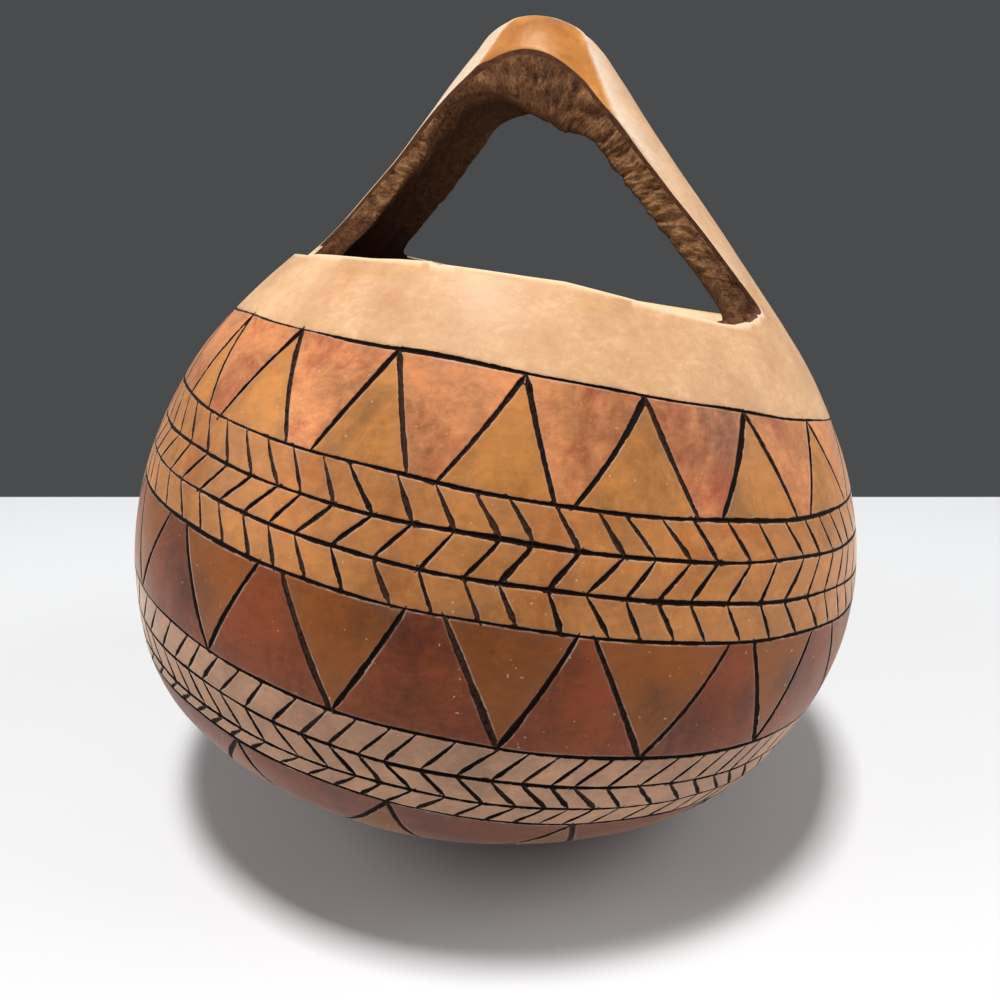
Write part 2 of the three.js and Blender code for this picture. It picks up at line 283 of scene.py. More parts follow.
@dataclass
class Strap:
    """The strap handle between its two saw cuts, and the mouth that the cuts leave.

    Across runs square to the strap towards the viewer, and right runs along it.
    """

    form: GourdForm
    turn: float = -19.2
    front: float = 26.0
    back_at_crown: float = 9.0
    back_at_rim: float = 12.0
    front_rim: float = 70.0
    back_rim: float = 74.0
    corner: float = 6.0
    tight_corner: float = 2.2
    seam: float = 81.0
    front_wander: tuple = (
        (-75, -2.3), (-55, -0.5), (-20, 1.0), (8, -0.8), (20, 0.5), (38, 2.0), (60, 0.0), (75, -2.3),
    )
    front_rim_wander: tuple = (
        (-70, -3.4), (-55, -3.3), (-50, -2.5), (-33, -1.4), (-26, -0.5), (-19.2, 0.25),
        (-18.9, -0.5), (-18.2, -0.2), (-17.7, -0.45), (-17.0, 0.0), (-2, 0.7), (4, 1.1),
        (15, 0.2), (25, -1.0), (35, -1.4), (39, -1.1), (43, 0.0), (47, 1.6), (51, 2.8), (60, 2.8),
    )
    front_under: tuple = (
        (0, 0.0), (40, 0.3), (58, 0.6), (66, 0.6), (72, -0.6), (79, -2.8), (85, -3.6), (91, -3.1),
        (98, -2.3), (103, -1.4), (109, 1.5), (116, 4.5), (124, 6.8), (132, 7.8), (140, 5.5), (154, 2.2),
        (167, 1.3), (174, 0.6), (180, 0.0),
    )
    back_under: tuple = ((0, 0.0), (95, 0.3), (112, 1.4), (128, 1.6), (136, 0.0), (150, 0.5), (180, 0.0))
    under_round: float = 0.42
    torn_from: float = 40.5
    bevel: tuple = (
        (-180, 0.5), (-100, 0.5), (-99, 0.0), (8, 0.0), (26, 2.2), (40, 3.6), (52, 4.2), (60, 3.4),
        (72, 0.4), (84, 0.4), (85, 4.4), (117, 4.2), (141, 1.0), (180, 0.5),
    )
    leg_set_back: float = 2.0
    rim_counts: tuple[int, int, int] = (74, 330, 40)
    leg_count: int = 31
    corner_count: int = 9
    farthest: float = 190.0
    halvings: int = 44
    grain_round: float = 50.0
    low_grain_round: float = 300.0

    def axes(self) -> tuple[Array, Array]:
        """Gives the strap's across and right directions."""
        turn = math.radians(self.turn)
        across = np.array([math.sin(turn), -math.cos(turn)])
        return across, np.array([-across[1], across[0]])

    def spot(self, local: Array) -> tuple[Array, Array]:
        """Gives how far points lie to the right along the strap and towards the viewer across it."""
        across, right = self.axes()
        return local[..., :2] @ right, local[..., :2] @ across

    def front_at(self, right: Array) -> Array:
        """Gives where the front saw cut lies, which wandered a little along the strap."""
        return self.front + read_table(right, self.front_wander)

    def back_at(self, height: Array) -> Array:
        """Gives where the back saw cut lies at a height."""
        slope = (self.back_at_crown - self.back_at_rim) / (self.form.hollow_top - self.back_rim)
        return self.back_at_rim + slope * (height - self.back_rim)

    def point(self, profile: Profile, across: Array, height: Array, side: float) -> Array:
        """Finds the point of a turned surface in a saw cut.

        Args:
            profile: The turned surface's outline.
            across: Places across the strap.
            height: Heights.
            side: 1 for the right leg, -1 for the left leg.

        Returns:
            Positions in the gourd's own frame.
        """
        facing, right = self.axes()
        middle = self.form.crook(height)
        off = across - middle @ facing
        reach = np.sqrt(np.maximum(profile.radius_at(height) ** 2 - off**2, 0.0))
        flat = across[:, None] * facing + (middle @ right + side * reach)[:, None] * right
        return np.concatenate([flat, np.asarray(height, float)[:, None]], 1)

    def under_shift(self, swing: Array, share: Array) -> Array:
        """Gives how far the worked underside stands out of the grown hollow, with its edges rounded over.

        Args:
            swing: 0 at the right leg's seam, 90 at the crown, 180 at the left leg's seam.
            share: 0 in the front saw cut, 1 in the back one.

        Returns:
            Millimetres away from the middle of the strap's legs.
        """
        front, back = read_table(swing, self.front_under), read_table(swing, self.back_under)
        way_in = np.clip(share / self.under_round, 0, 1)
        hold = 1 - np.sqrt(np.maximum(2 * way_in - way_in**2, 0))
        return front * hold + back * ease((share - 0.4) / 0.6)

    def arch(
        self, profile: Profile, swing: Array, share: Array, shift: Array | float = 0.0
    ) -> Array:
        """Finds points of a turned surface on the strap, seen from the middle of the strap's legs.

        Args:
            profile: The turned surface's outline.
            swing: 0 at the right leg's seam, 90 at the crown, 180 at the left leg's seam.
            share: 0 in the front saw cut, 1 in the back one.
            shift: Millimetres to move the points away from the middle of the legs.

        Returns:
            Positions in the gourd's own frame.
        """
        cos, sin = np.cos(np.radians(swing)), np.sin(np.radians(swing))
        low, high = np.zeros_like(cos), np.full_like(cos, self.farthest)
        for _ in range(self.halvings):
            reach = (low + high) / 2
            local = self.in_strap(reach * cos, self.seam + reach * sin, share)
            height = np.minimum(local[:, 2], profile.height[-1])
            middle = self.form.crook(height)
            off = np.hypot(local[:, 0] - middle[:, 0], local[:, 1] - middle[:, 1])
            outside = (off > profile.radius_at(height)) | (local[:, 2] > profile.height[-1])
            high = np.where(outside, reach, high)
            low = np.where(outside, low, reach)
        low = low + shift
        return self.in_strap(low * cos, self.seam + low * sin, share)

    def grain_place(self, local: Array) -> Array:
        """Gives places in the flesh: round the arch, through the wall and across the strap."""
        right, across = self.spot(local)
        rise = local[:, 2] - self.seam
        swing = np.arctan2(rise, right)
        swing = np.where(swing < -math.pi / 2, swing + 2 * math.pi, swing)
        low = ease(-rise / 12.0) * (1 - ease((np.abs(right) - 45.0) / 15.0))
        low_around = np.arctan2(right, across + self.low_grain_round) * self.low_grain_round
        around = swing * self.grain_round * (1 - low) + low * low_around
        return np.stack([around, np.hypot(right, rise), across], 1)

    def in_strap(self, right: Array, height: Array, share: Array) -> Array:
        """Gives positions by their place along the strap, height and share of the way to the back cut."""
        facing, along = self.axes()
        across = self.front_at(right) * (1 - share) - self.back_at(height) * share
        flat = across[:, None] * facing + right[:, None] * along
        return np.concatenate([flat, height[:, None]], 1)

    def mouth(self, profile: Profile, turning: Turning) -> tuple[Array, Array, Array]:
        """Walks once round the mouth in the skin or the inner face, from the back of the gourd.

        Args:
            profile: Outline of the surface that the mouth is cut in.
            turning: The surface itself, for angles.

        Returns:
            Positions in the gourd's own frame, for each how much it belongs to the sanded rim, and 1 where
            it lies in a leg's front saw cut, -1 in a back one and 0 elsewhere.
        """
        back_left, front_left = (self.corner_points(profile, -1.0, facing) for facing in (False, True))
        back_right, front_right = (self.corner_points(profile, 1.0, facing) for facing in (False, True))
        corners = (back_left, front_left, front_right, back_right)
        ends = [turning.angle_of(corner[:1])[0] for corner in corners]
        loops = [
            self.rim(profile, -180.0, ends[0], self.rim_counts[0])[:-1],
            back_left,
            self.leg(profile, -1.0, front_left[-1], back_left[-1])[1:-1],
            front_left[::-1],
            self.rim(profile, ends[1], ends[2], self.rim_counts[1])[1:-1],
            front_right,
            self.leg(profile, 1.0, back_right[-1], front_right[-1])[1:-1],
            back_right[::-1],
            self.rim(profile, ends[3], 180.0, self.rim_counts[2])[1:],
        ]
        sanded, sides = [], []
        for loop, side in zip(loops, (0, -1, 0, 1, 0, 1, 0, -1, 0)):
            sides.append(np.full(len(loop), float(side)))
            past_front = ease((turning.angle_of(loop) - self.torn_from) / 1.5)
            smooth = 1.0 - past_front * (loop[:, 2] < self.back_rim - 1)
            sanded.append(np.where(loop[:, 2] > self.seam - 1.0, 0.0, smooth) * (side == 0))
        return np.concatenate(loops), np.concatenate(sanded), np.concatenate(sides)

    def rim_height(self, angle: Array) -> Array:
        """Gives the height of the sawn rim, which wanders on the viewer's side."""
        front = self.front_rim + read_table(angle, self.front_rim_wander)
        return np.where((angle > -100.0) & (angle < 85.0), front, self.back_rim)

    def feet(self, local: Array) -> Array:
        """Gives how close points of the strap are to its feet on the rim, 0 to 1."""
        return 1.0 - ease((local[:, 2] - self.front_rim - 2.0) / 16.0)

    def rim(self, profile: Profile, start: float, end: float, count: int) -> Array:
        """Gives the rim between two angles."""
        angle = np.linspace(start, end, count)
        height = self.rim_height(angle)
        azimuth = np.radians(angle + FACING)
        middle = self.form.crook(height)
        radius = profile.radius_at(height)
        return np.stack([
            middle[:, 0] + radius * np.cos(azimuth), middle[:, 1] + radius * np.sin(azimuth), height,
        ], 1)

    def corner_points(self, profile: Profile, side: float, facing: bool) -> Array:
        """Gives the round corner between the rim and a leg's saw cut, and the cut up to the seam."""
        turn = np.radians(np.linspace(90, 0, self.corner_count))
        corner = self.tight_corner if facing and side < 0 else self.corner
        rise = corner * (1 - np.sin(turn))
        away = corner * (1 - np.cos(turn))
        if facing:
            wander = self.front_rim_wander[0 if side < 0 else -1][1]
            cut = self.front - self.leg_set_back
            height = self.front_rim + rise
            height = height + wander * (1 - rise / corner)
            extra = np.linspace(height[-1], self.seam, 5)[1:]
            height = np.concatenate([height, extra])
            across = np.concatenate([cut + away, np.full(len(extra), cut)])
            right, _ = self.spot(self.point(profile, across, height, side))
            return self.point(profile, across + (self.front_at(right) - cut), height, side)
        height = self.back_rim + rise
        across = -(self.back_at(height[-1]) + away)
        extra = np.linspace(height[-1], self.seam, 3)[1:]
        height = np.concatenate([height, extra])
        across = np.concatenate([across, -self.back_at(extra)])
        return self.point(profile, across, height, side)

    def leg(self, profile: Profile, side: float, first: Array, last: Array) -> Array:
        """Gives the seam line across a leg, from one corner's end to the other's."""
        across = np.linspace(self.spot(last)[1], self.spot(first)[1], self.leg_count)
        return self.point(profile, across, np.full(self.leg_count, self.seam), side)


class Ring(Enum):
    """The carved level lines, from the top: mean height, and its swing to the right and to the viewer."""

    TOP = (47.3, -0.1, 3.2)
    TRIANGLE_FOOT = (29.8, 1.3, -3.6)
    CHEVRON_ONE = (19.1, 1.5, -1.3)
    CHEVRON_TWO = (9.1, 0.9, 0.4)
    CHEVRON_FOOT = (0.6, 0.8, 0.5)
    POINT_LINE = (-26.1, -1.6, -0.2)
    LOWER_ONE = (-36.0, -0.7, 0.5)
    LOWER_TWO = (-43.1, -0.6, 0.6)
    LOWER_FOOT = (-48.1, -1.6, 0.3)
    LAST = (-72.0, 0.0, 0.0)

    def height(self, angle: Array) -> Array:
        """Gives the line's height at an angle."""
        mean, right, near = self.value
        turn = np.radians(angle)
        level = mean + right * np.sin(turn) + near * np.cos(turn)
        phase = mean * 0.7
        wobble = 0.22 * np.sin(5 * turn + phase) + 0.16 * np.sin(9 * turn + 2 * phase)
        return level + wobble + 0.1 * np.sin(17 * turn + 3 * phase)


@dataclass
class Groove:
    """One gouged line: its stations round and up the skin, its half width there and how black it is."""

    angle: Array
    arc: Array
    half: Array
    fill: float
    closed: bool = False


@dataclass
class Carving:
    """The carved bands: the level lines, the triangles and the herringbones.

    A band of triangles gives its number from the top, the lines of the triangles' feet and points, their
    count round the gourd, half the width of a foot, the black in the two strokes, and the apex, left and
    right angles of the triangles that are seen. A herringbone gives its number, its columns, the angle of
    the first, their unevenness, and for each row its two lines, where its strokes start and end, and their
    black.
    """

    skin: Profile
    seed: int = 11
    lip: float = 0.5
    near_width: float = 5.0
    reach: float = 6.0
    lap_margin: float = 7.0
    sway: float = 0.9
    heavy_top: tuple[float, float] = (-16.0, 13.0)
    ring_half: float = 0.43
    triangle_half: float = 0.62
    chevron_half: float = 0.54
    steepness: float = 0.8
    triangle_bands: tuple = (
        (1, Ring.TRIANGLE_FOOT, Ring.TOP, 21, 7.0, (1.0, 0.6), (
            (-51.8, -54.6, -46.0), (-35.9, -42.3, -28.4), (-18.1, -24.7, -12.0), (-0.5, -8.6, 4.9),
            (15.7, 7.0, 22.4), (32.2, 25.7, 39.7), (49.0, 42.8, 57.5),
        )),
        (3, Ring.CHEVRON_FOOT, Ring.POINT_LINE, 20, 7.4, (0.8, 1.0), (
            (-51.4, -58.4, -45.0), (-32.2, -40.5, -26.6), (-14.0, -23.4, -8.5), (4.4, -4.4, 9.6),
            (20.9, 11.4, 28.2), (38.8, 31.8, 43.6),
        )),
        (5, Ring.LAST, Ring.LOWER_FOOT, 16, 9.0, (0.9, 0.9), ((-5.5, -14.5, 3.5), (17.9, 8.5, 26.5))),
    )
    herringbones: tuple = (
        (2, 80, -0.2, 0.45, (
            (Ring.TRIANGLE_FOOT, Ring.CHEVRON_ONE, 0.0, 3.6, 0.62),
            (Ring.CHEVRON_ONE, Ring.CHEVRON_TWO, 3.6, 0.3, 1.0),
            (Ring.CHEVRON_TWO, Ring.CHEVRON_FOOT, 0.3, 3.2, 0.7),
        )),
        (4, 96, 0.1, 0.35, (
            (Ring.POINT_LINE, Ring.LOWER_ONE, 0.0, -3.0, 1.0),
            (Ring.LOWER_ONE, Ring.LOWER_TWO, -3.0, 0.8, 0.9),
            (Ring.LOWER_TWO, Ring.LOWER_FOOT, 0.8, -1.9, 0.9),
        )),
    )
    grooves: list = field(default_factory=list)
    triangles: dict = field(default_factory=dict)

    def __post_init__(self) -> None:
        """Draws all the lines, with the same chance in every run."""
        self.chance = np.random.default_rng(self.seed)
        for ring in Ring:
            self.add_ring(ring)
        for band, foot, point, count, reach, fills, seen in self.triangle_bands:
            self.triangles[band] = self.round_the_gourd(seen, count, reach)
            for triangle in self.triangles[band]:
                self.add_triangle(triangle, foot, point, fills)
        for _, columns, phase, jitter, rows in self.herringbones:
            self.add_rows(rows, columns, phase, jitter)

    def round_the_gourd(self, seen: tuple, count: int, reach: float) -> list:
        """Carries the triangles of the viewer's side on round the gourd.

        Args:
            seen: Apex, left and right angles of the triangles on the viewer's side.
            count: How many triangles go round.
            reach: Half the width of a triangle's foot in degrees.

        Returns:
            Apex, left and right angles of all triangles.
        """
        triangles = [list(entry) for entry in seen]
        missing = count - len(seen)
        step = (seen[0][0] + 360.0 - seen[-1][0]) / (missing + 1)
        for i in range(missing):
            apex = seen[-1][0] + step * (i + 1) + self.sway * math.sin(2 * i)
            triangles.append([apex, apex - reach, apex + reach])
        return triangles

    def add_triangle(self, triangle: list, foot: Ring, point: Ring, fills: tuple[float, float]) -> None:
        """Adds the two strokes of a triangle, and keeps them with it.

        Args:
            triangle: Apex, left and right angles; the strokes are added to it.
            foot: The level line that it stands on or hangs from.
            point: The level line that its point touches.
            fills: How much black the left and the right strokes hold.
        """
        apex, left, right = triangle
        for side, fill in zip((left, right), fills):
            self.add_stroke(side, foot, apex, point, self.triangle_half, fill)
            triangle.append(self.grooves[-1])

    def add_ring(self, ring: Ring) -> None:
        """Adds a level line with a hand's uneven pressure."""
        angle = np.linspace(-180.0, 180.0, 289)
        turn = np.radians(angle)
        swell = self.chance.uniform(0, 6.28, 4)
        press = 1 + 0.22 * np.sin(3 * turn + swell[0]) + 0.18 * np.sin(7 * turn + swell[1])
        press += 0.12 * np.sin(19 * turn + swell[2]) + self.chance.normal(0, 0.08, len(angle))
        half = self.ring_half * np.clip(press, 0.45, 1.5)
        if ring is Ring.TOP:
            middle, spread = self.heavy_top
            half = half * (0.72 + 0.6 * np.exp(-(((angle - middle) / spread) ** 2)))
        half[-1] = half[0]
        height = ring.height(angle)
        height[-1] = height[0]
        self.grooves.append(Groove(angle, self.skin.arc_at(height), half, 1.0, closed=True))

    def add_stroke(
        self, start: float, start_ring: Ring, end: float, end_ring: Ring, half: float, fill: float,
        wedge: float = 0.0,
    ) -> None:
        """Adds a stroke between two level lines, with its ends a little past them.

        Args:
            start: Angle where the gouge goes in.
            start_ring: The level line that it starts on.
            end: Angle where the gouge comes out.
            end_ring: The level line that it ends on.
            half: Half the stroke's width.
            fill: How much black the stroke holds.
            wedge: How much it widens from its start to its end.
        """
        first = self.skin.arc_at(start_ring.height(np.array(start)))
        last = self.skin.arc_at(end_ring.height(np.array(end)))
        radius = self.skin.radius_along((first + last) / 2)
        length = math.hypot(math.radians(end - start) * radius, last - first)
        if half < self.triangle_half:
            half *= 1 - 0.1 * float(ease(np.array((start - 4.0) / 26.0)))
        past = self.chance.uniform(-0.2, 1.0, 2) / length
        count = max(5, int(length / 2.2))
        share = np.linspace(-past[0], 1 + past[1], count)
        bow = self.chance.normal(0, 0.009) * 4 * share * (1 - share)
        angle = start + (end - start) * share - np.degrees(bow * (last - first) / radius)
        arc = first + (last - first) * share + bow * math.radians(end - start) * radius
        press = (0.84 + 0.22 * share) * (1 - wedge) + (0.5 + 0.95 * share) * wedge
        press += self.chance.normal(0, 0.06, count)
        swell_at = self.chance.uniform(0.55, 1.0)
        press += 0.26 * np.exp(-(((share - swell_at) / 0.14) ** 2))
        press *= ease((share + past[0]) * length / 0.9 + 0.35)
        press *= ease((1 + past[1] - share) * length / 0.8 + 0.2)
        width = half * self.chance.uniform(0.86, 1.16) * np.clip(press, 0.12, 1.5)
        black = float(np.clip(fill + self.chance.normal(0, 0.12), 0.35, 1.0))
        self.grooves.append(Groove(angle, arc, width, black))

    def add_rows(self, rows: tuple, columns: int, phase: float, jitter: float) -> None:
        """Adds a herringbone of three rows, whose strokes meet on the level lines."""
        pitch = 360.0 / columns
        for column in range(columns):
            home = phase + pitch * column + 0.7 * math.sin(column * 0.9)
            shifts = self.chance.normal(0, jitter * 0.6, 4)
            for i, (upper, lower, first, last, fill) in enumerate(rows):
                start = home + first + shifts[i]
                end = home + last + shifts[i + 1]
                if i == 1:
                    self.add_stroke(start, upper, end, lower, self.chevron_half, fill)
                else:
                    wedge = 0.75 if (start + 200.0) % 360.0 < 212.0 else 0.3
                    self.add_stroke(start, upper, end, lower, self.chevron_half * 0.94, fill, wedge)

    def lines(self) -> list[tuple[Array, Array]]:
        """Lists the lines that the mesh follows: each groove's bed, its shoulders, its edges and its lips.

        Returns:
            The angles and lengths along the outline of each line.
        """
        lines = []
        for groove in self.grooves:
            radius = self.skin.radius_along(groove.arc)
            if groove.closed:
                side = np.stack([np.zeros_like(groove.arc), np.ones_like(groove.arc)], 1)
            else:
                way = np.stack([np.gradient(np.radians(groove.angle)) * radius, np.gradient(groove.arc)], 1)
                way /= np.maximum(np.linalg.norm(way, axis=1), TINY)[:, None]
                side = np.stack([-way[:, 1], way[:, 0]], 1)
            for share, extra in ((0, 0), (0.55, 0), (1, 0), (1, self.lip)):
                for sign in ((1, -1) if share else (1,)):
                    away = sign * (share * groove.half + extra)
                    angle = groove.angle + np.degrees(side[:, 0] * away / radius)
                    lines.append((angle, groove.arc + side[:, 1] * away))
        return lines

    def measure(self, angle: Array, arc: Array) -> dict[str, Array]:
        """Measures points against the grooves.

        Args:
            angle: Angles round the gourd.
            arc: Lengths along the outline.

        Returns:
            For each point: line, 0 in a groove's bed, 1 at its edge and 2 at its lip; near, 1 at an edge
            and 0 away from it; fill, how black the nearest groove is; lee, 1 below or to the right of it;
            and sink, how deep the point is cut.
        """
        starts = {"line": 3.0, "gap": 9.0, "fill": 1.0, "lee": 0.0, "sink": 0.0}
        marks = {key: np.full(len(angle), value) for key, value in starts.items()}
        radius = self.skin.radius_along(arc)
        order = np.argsort(angle, kind="stable")
        sorted_angle = angle[order]
        for groove in self.grooves:
            if groove.closed:
                up = arc - np.interp(angle, groove.angle, groove.arc)
                picked = np.nonzero(np.abs(up) < self.reach)[0]
                half = np.interp(angle[picked], groove.angle, groove.half)
                self.note(marks, picked, np.abs(up[picked]), half, up[picked] < 0, groove.fill)
                continue
            low, high = groove.arc.min() - self.reach, groove.arc.max() + self.reach
            for lap in LAPS:
                course = groove.angle + lap
                span = (course.min() - self.lap_margin, course.max() + self.lap_margin)
                first, last = np.searchsorted(sorted_angle, span)
                picked = order[first:last]
                picked = picked[(arc[picked] > low) & (arc[picked] < high)]
                if len(picked):
                    spots = (angle[picked], arc[picked], radius[picked])
                    self.note(marks, picked, *self.distance(*spots, course, groove), groove.fill)
        marks["near"] = np.clip(1 - marks.pop("gap") / self.near_width, 0, 1)
        return marks

    def distance(
        self, angle: Array, arc: Array, radius: Array, course: Array, groove: Groove
    ) -> tuple[Array, Array, Array]:
        """Gives points' distance from a stroke's bed, its half width there, and its lee side."""
        best = np.full(len(angle), 99.0)
        width = np.full(len(angle), 0.3)
        below = np.zeros(len(angle), bool)
        for i in range(len(course) - 1):
            ahead = np.radians(course[i + 1] - course[i]) * radius
            rise = groove.arc[i + 1] - groove.arc[i]
            over = np.radians(angle - course[i]) * radius
            up = arc - groove.arc[i]
            share = np.clip((over * ahead + up * rise) / np.maximum(ahead**2 + rise**2, TINY), 0, 1)
            over, up = over - share * ahead, up - share * rise
            off = np.hypot(over, up)
            nearer = off < best
            best = np.where(nearer, off, best)
            width = np.where(nearer, groove.half[i] + share * (groove.half[i + 1] - groove.half[i]), width)
            below = np.where(nearer, over > up, below)
        return best, width, below

    def note(
        self, marks: dict, picked: Array, off: Array, half: Array, below: Array, black: float
    ) -> None:
        """Writes down a groove where it is the nearest, and its depth where it is the deepest."""
        here = np.minimum(np.where(off < half, off / half, 1 + (off - half) / self.lip), 3.0)
        nearest = here < marks["line"][picked]
        for key, value in (("line", here[nearest]), ("fill", black), ("lee", below[nearest])):
            marks[key][picked[nearest]] = value
        depth = self.steepness * half * (1 - np.minimum(off / half, 1) ** 1.6)
        marks["gap"][picked] = np.minimum(marks["gap"][picked], np.maximum(off - half, 0))
        marks["sink"][picked] = np.maximum(marks["sink"][picked], depth)

    def cells(self, angle: Array, arc: Array) -> dict[str, Array]:
        """Tells which carved field each face lies in.

        Args:
            angle: Angles of the faces' middles.
            arc: Lengths along the outline of the faces' middles.

        Returns:
            For each face: band, 0 at the plain top to 6 at the foot; stain, 1 where it is stained; and
            tone, the field's own chance tone of -1 to 1.
        """
        height = self.skin.height_at(arc)
        band = np.zeros(len(angle))
        borders = (
            Ring.TOP, Ring.TRIANGLE_FOOT, Ring.CHEVRON_FOOT, Ring.POINT_LINE, Ring.LOWER_FOOT, Ring.LAST,
        )
        for number, ring in enumerate(borders, 1):
            band[height < ring.height(angle)] = number
        stain = np.isin(band, (1, 3, 5)).astype(float)
        chance = np.random.default_rng(self.seed + 1)
        tone = np.zeros(len(angle))
        for number, triangles in self.triangles.items():
            here = np.nonzero(band == number)[0]
            spots = angle[here]
            for i, (apex, *_) in enumerate(triangles):
                following = triangles[(i + 1) % len(triangles)][0]
                between = (spots - apex) % 360.0 < (following - apex) % 360.0
                tone[here[between]] = chance.uniform(-1, 1)
            for apex, _, _, *sides in triangles:
                turn = (spots - apex + 180.0) % 360.0 - 180.0
                edges = []
                for side in sides:
                    order = np.argsort(side.arc)
                    edges.append(np.interp(arc[here], side.arc[order], side.angle[order]) - apex)
                inside = (turn > edges[0]) & (turn < edges[1])
                stain[here[inside]] = 0.0
                tone[here[inside]] = chance.uniform(-1, 1)
        for number, columns, *_ in self.herringbones:
            here = np.nonzero(band == number)[0]
            slots = np.floor((angle[here] + 360.0) / 360.0 * columns).astype(int) % columns
            rows = np.floor(height[here] / 4.0).astype(int) % 3
            tone[here] = chance.uniform(-1, 1, (columns, 3))[slots, rows]
        return {"band": band, "stain": stain, "tone": tone}


@dataclass
class TornFlesh:
    """How the saw and the scraper tore the fibrous flesh: rough clumps on the right, finer on the left."""

    strap: Strap
    clump: float = 3.4
    fibre: float = 1.7
    hair: float = 0.85
    along_fibre: float = 2.0
    light: tuple = ((-60, 0.1), (-30, 0.2), (-20, 0.0), (-4, -0.12), (12, -0.1), (24, 0.3), (60, 0.36))
    vigour: tuple = (
        (-60, 1.0), (-40, 1.1), (-28, 0.75), (-12, 0.5), (2, 1.0), (14, 1.5), (34, 1.3), (60, 1.1),
    )

    def stand(self, local: Array) -> Array:
        """Gives how far the torn flesh stands out of its smooth form at points.

        Args:
            local: Positions in the gourd's own frame.

        Returns:
            Millimetres for each point.
        """
        right, across = self.strap.spot(local)
        rise = local[:, 2] - self.strap.seam
        around = np.arctan2(rise, right) * self.strap.grain_round
        grown = np.stack([around, np.hypot(right, rise) / self.along_fibre, across], 1)
        grown[:, 0] += 0.5 * grown[:, 1] * ease(right / 20.0)
        coarse = unevenness(local, self.clump, 4.4)
        fine = unevenness(grown, self.fibre, 6.1)
        hairs = unevenness(grown * np.array([1.0, 0.7, 1.0]), self.hair, 2.7)
        return read_table(right, self.vigour) * (0.55 * coarse + 0.45 * fine + 0.2 * hairs)

    def tone(self, local: Array, stand: Array) -> Array:
        """Gives how light the flesh is along the strap, lighter where it stands out and darker in its
        hollows, partly dust and partly painted shade.
        """
        return 0.5 + 0.5 * stand + read_table(self.strap.spot(local)[0], self.light)

    def dusk(self, local: Array, depth: Array) -> Array:
        """Gives how dark and red the flesh is: at the strap's feet near the rim, partly painted shade, and
        below the skin of its right leg.
        """
        right, _ = self.strap.spot(local)
        below_skin = (1.0 - ease(depth / 0.42)) * ease((right - 12.0) / 16.0)
        return np.clip(0.85 * self.strap.feet(local) + 0.3 * below_skin, 0.0, 1.0)


@dataclass
class MeshParts:
    """Vertices, faces and painted masks of a mesh that is being made."""

    points: Array
    faces: list
    on_points: dict = field(default_factory=dict)
    on_faces: dict = field(default_factory=dict)

    def make(self, name: str, material: Material) -> Piece:
        """Makes the Blender object.

        Args:
            name: The piece's name.
            material: Its material.

        Returns:
            The piece, smooth shaded and riding on the basket's one body.
        """
        mesh = bpy.data.meshes.new(name)
        mesh.from_pydata(self.points.tolist(), [], self.faces)
        for key, values in self.on_points.items():
            self.paint(mesh, key, "POINT", values)
        for key, values in self.on_faces.items():
            self.paint(mesh, key, "FACE", values)
        mesh.polygons.foreach_set("use_smooth", np.ones(len(mesh.polygons), bool))
        mesh.set_sharp_from_angle(angle=math.radians(70.0))
        mesh.update()
        piece = bpy.data.objects.new(name, mesh)
        bpy.context.scene.collection.objects.link(piece)
        mesh.materials.append(material)
        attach(piece, "root")
        return piece

    def paint(self, mesh: bpy.types.Mesh, key: str, domain: str, values: Array) -> None:
        """Stores a mask on the mesh, as one number or three for each point or face."""
        values = np.asarray(values, np.float32)
        if values.ndim == 2:
            mask = mesh.attributes.new(key, "FLOAT_VECTOR", domain)
            mask.data.foreach_set("vector", values.ravel())
        else:
            mask = mesh.attributes.new(key, "FLOAT", domain)
            mask.data.foreach_set("value", values)


def inside_loop(spots: Array, loop: Array) -> Array:
    """Tells which flat spots lie inside a closed loop.

    Args:
        spots: Flat positions, one row each.
        loop: The loop's corners in order.

    Returns:
        True for each spot inside.
    """
    inside = np.zeros(len(spots), bool)
    for (x0, y0), (x1, y1) in zip(loop, np.roll(loop, -1, axis=0)):
        if y0 == y1:
            continue
        crosses = (spots[:, 1] < y0) != (spots[:, 1] < y1)
        at = x0 + (spots[:, 1] - y0) * (x1 - x0) / (y1 - y0)
        inside ^= crosses & (spots[:, 0] < at)
    return inside


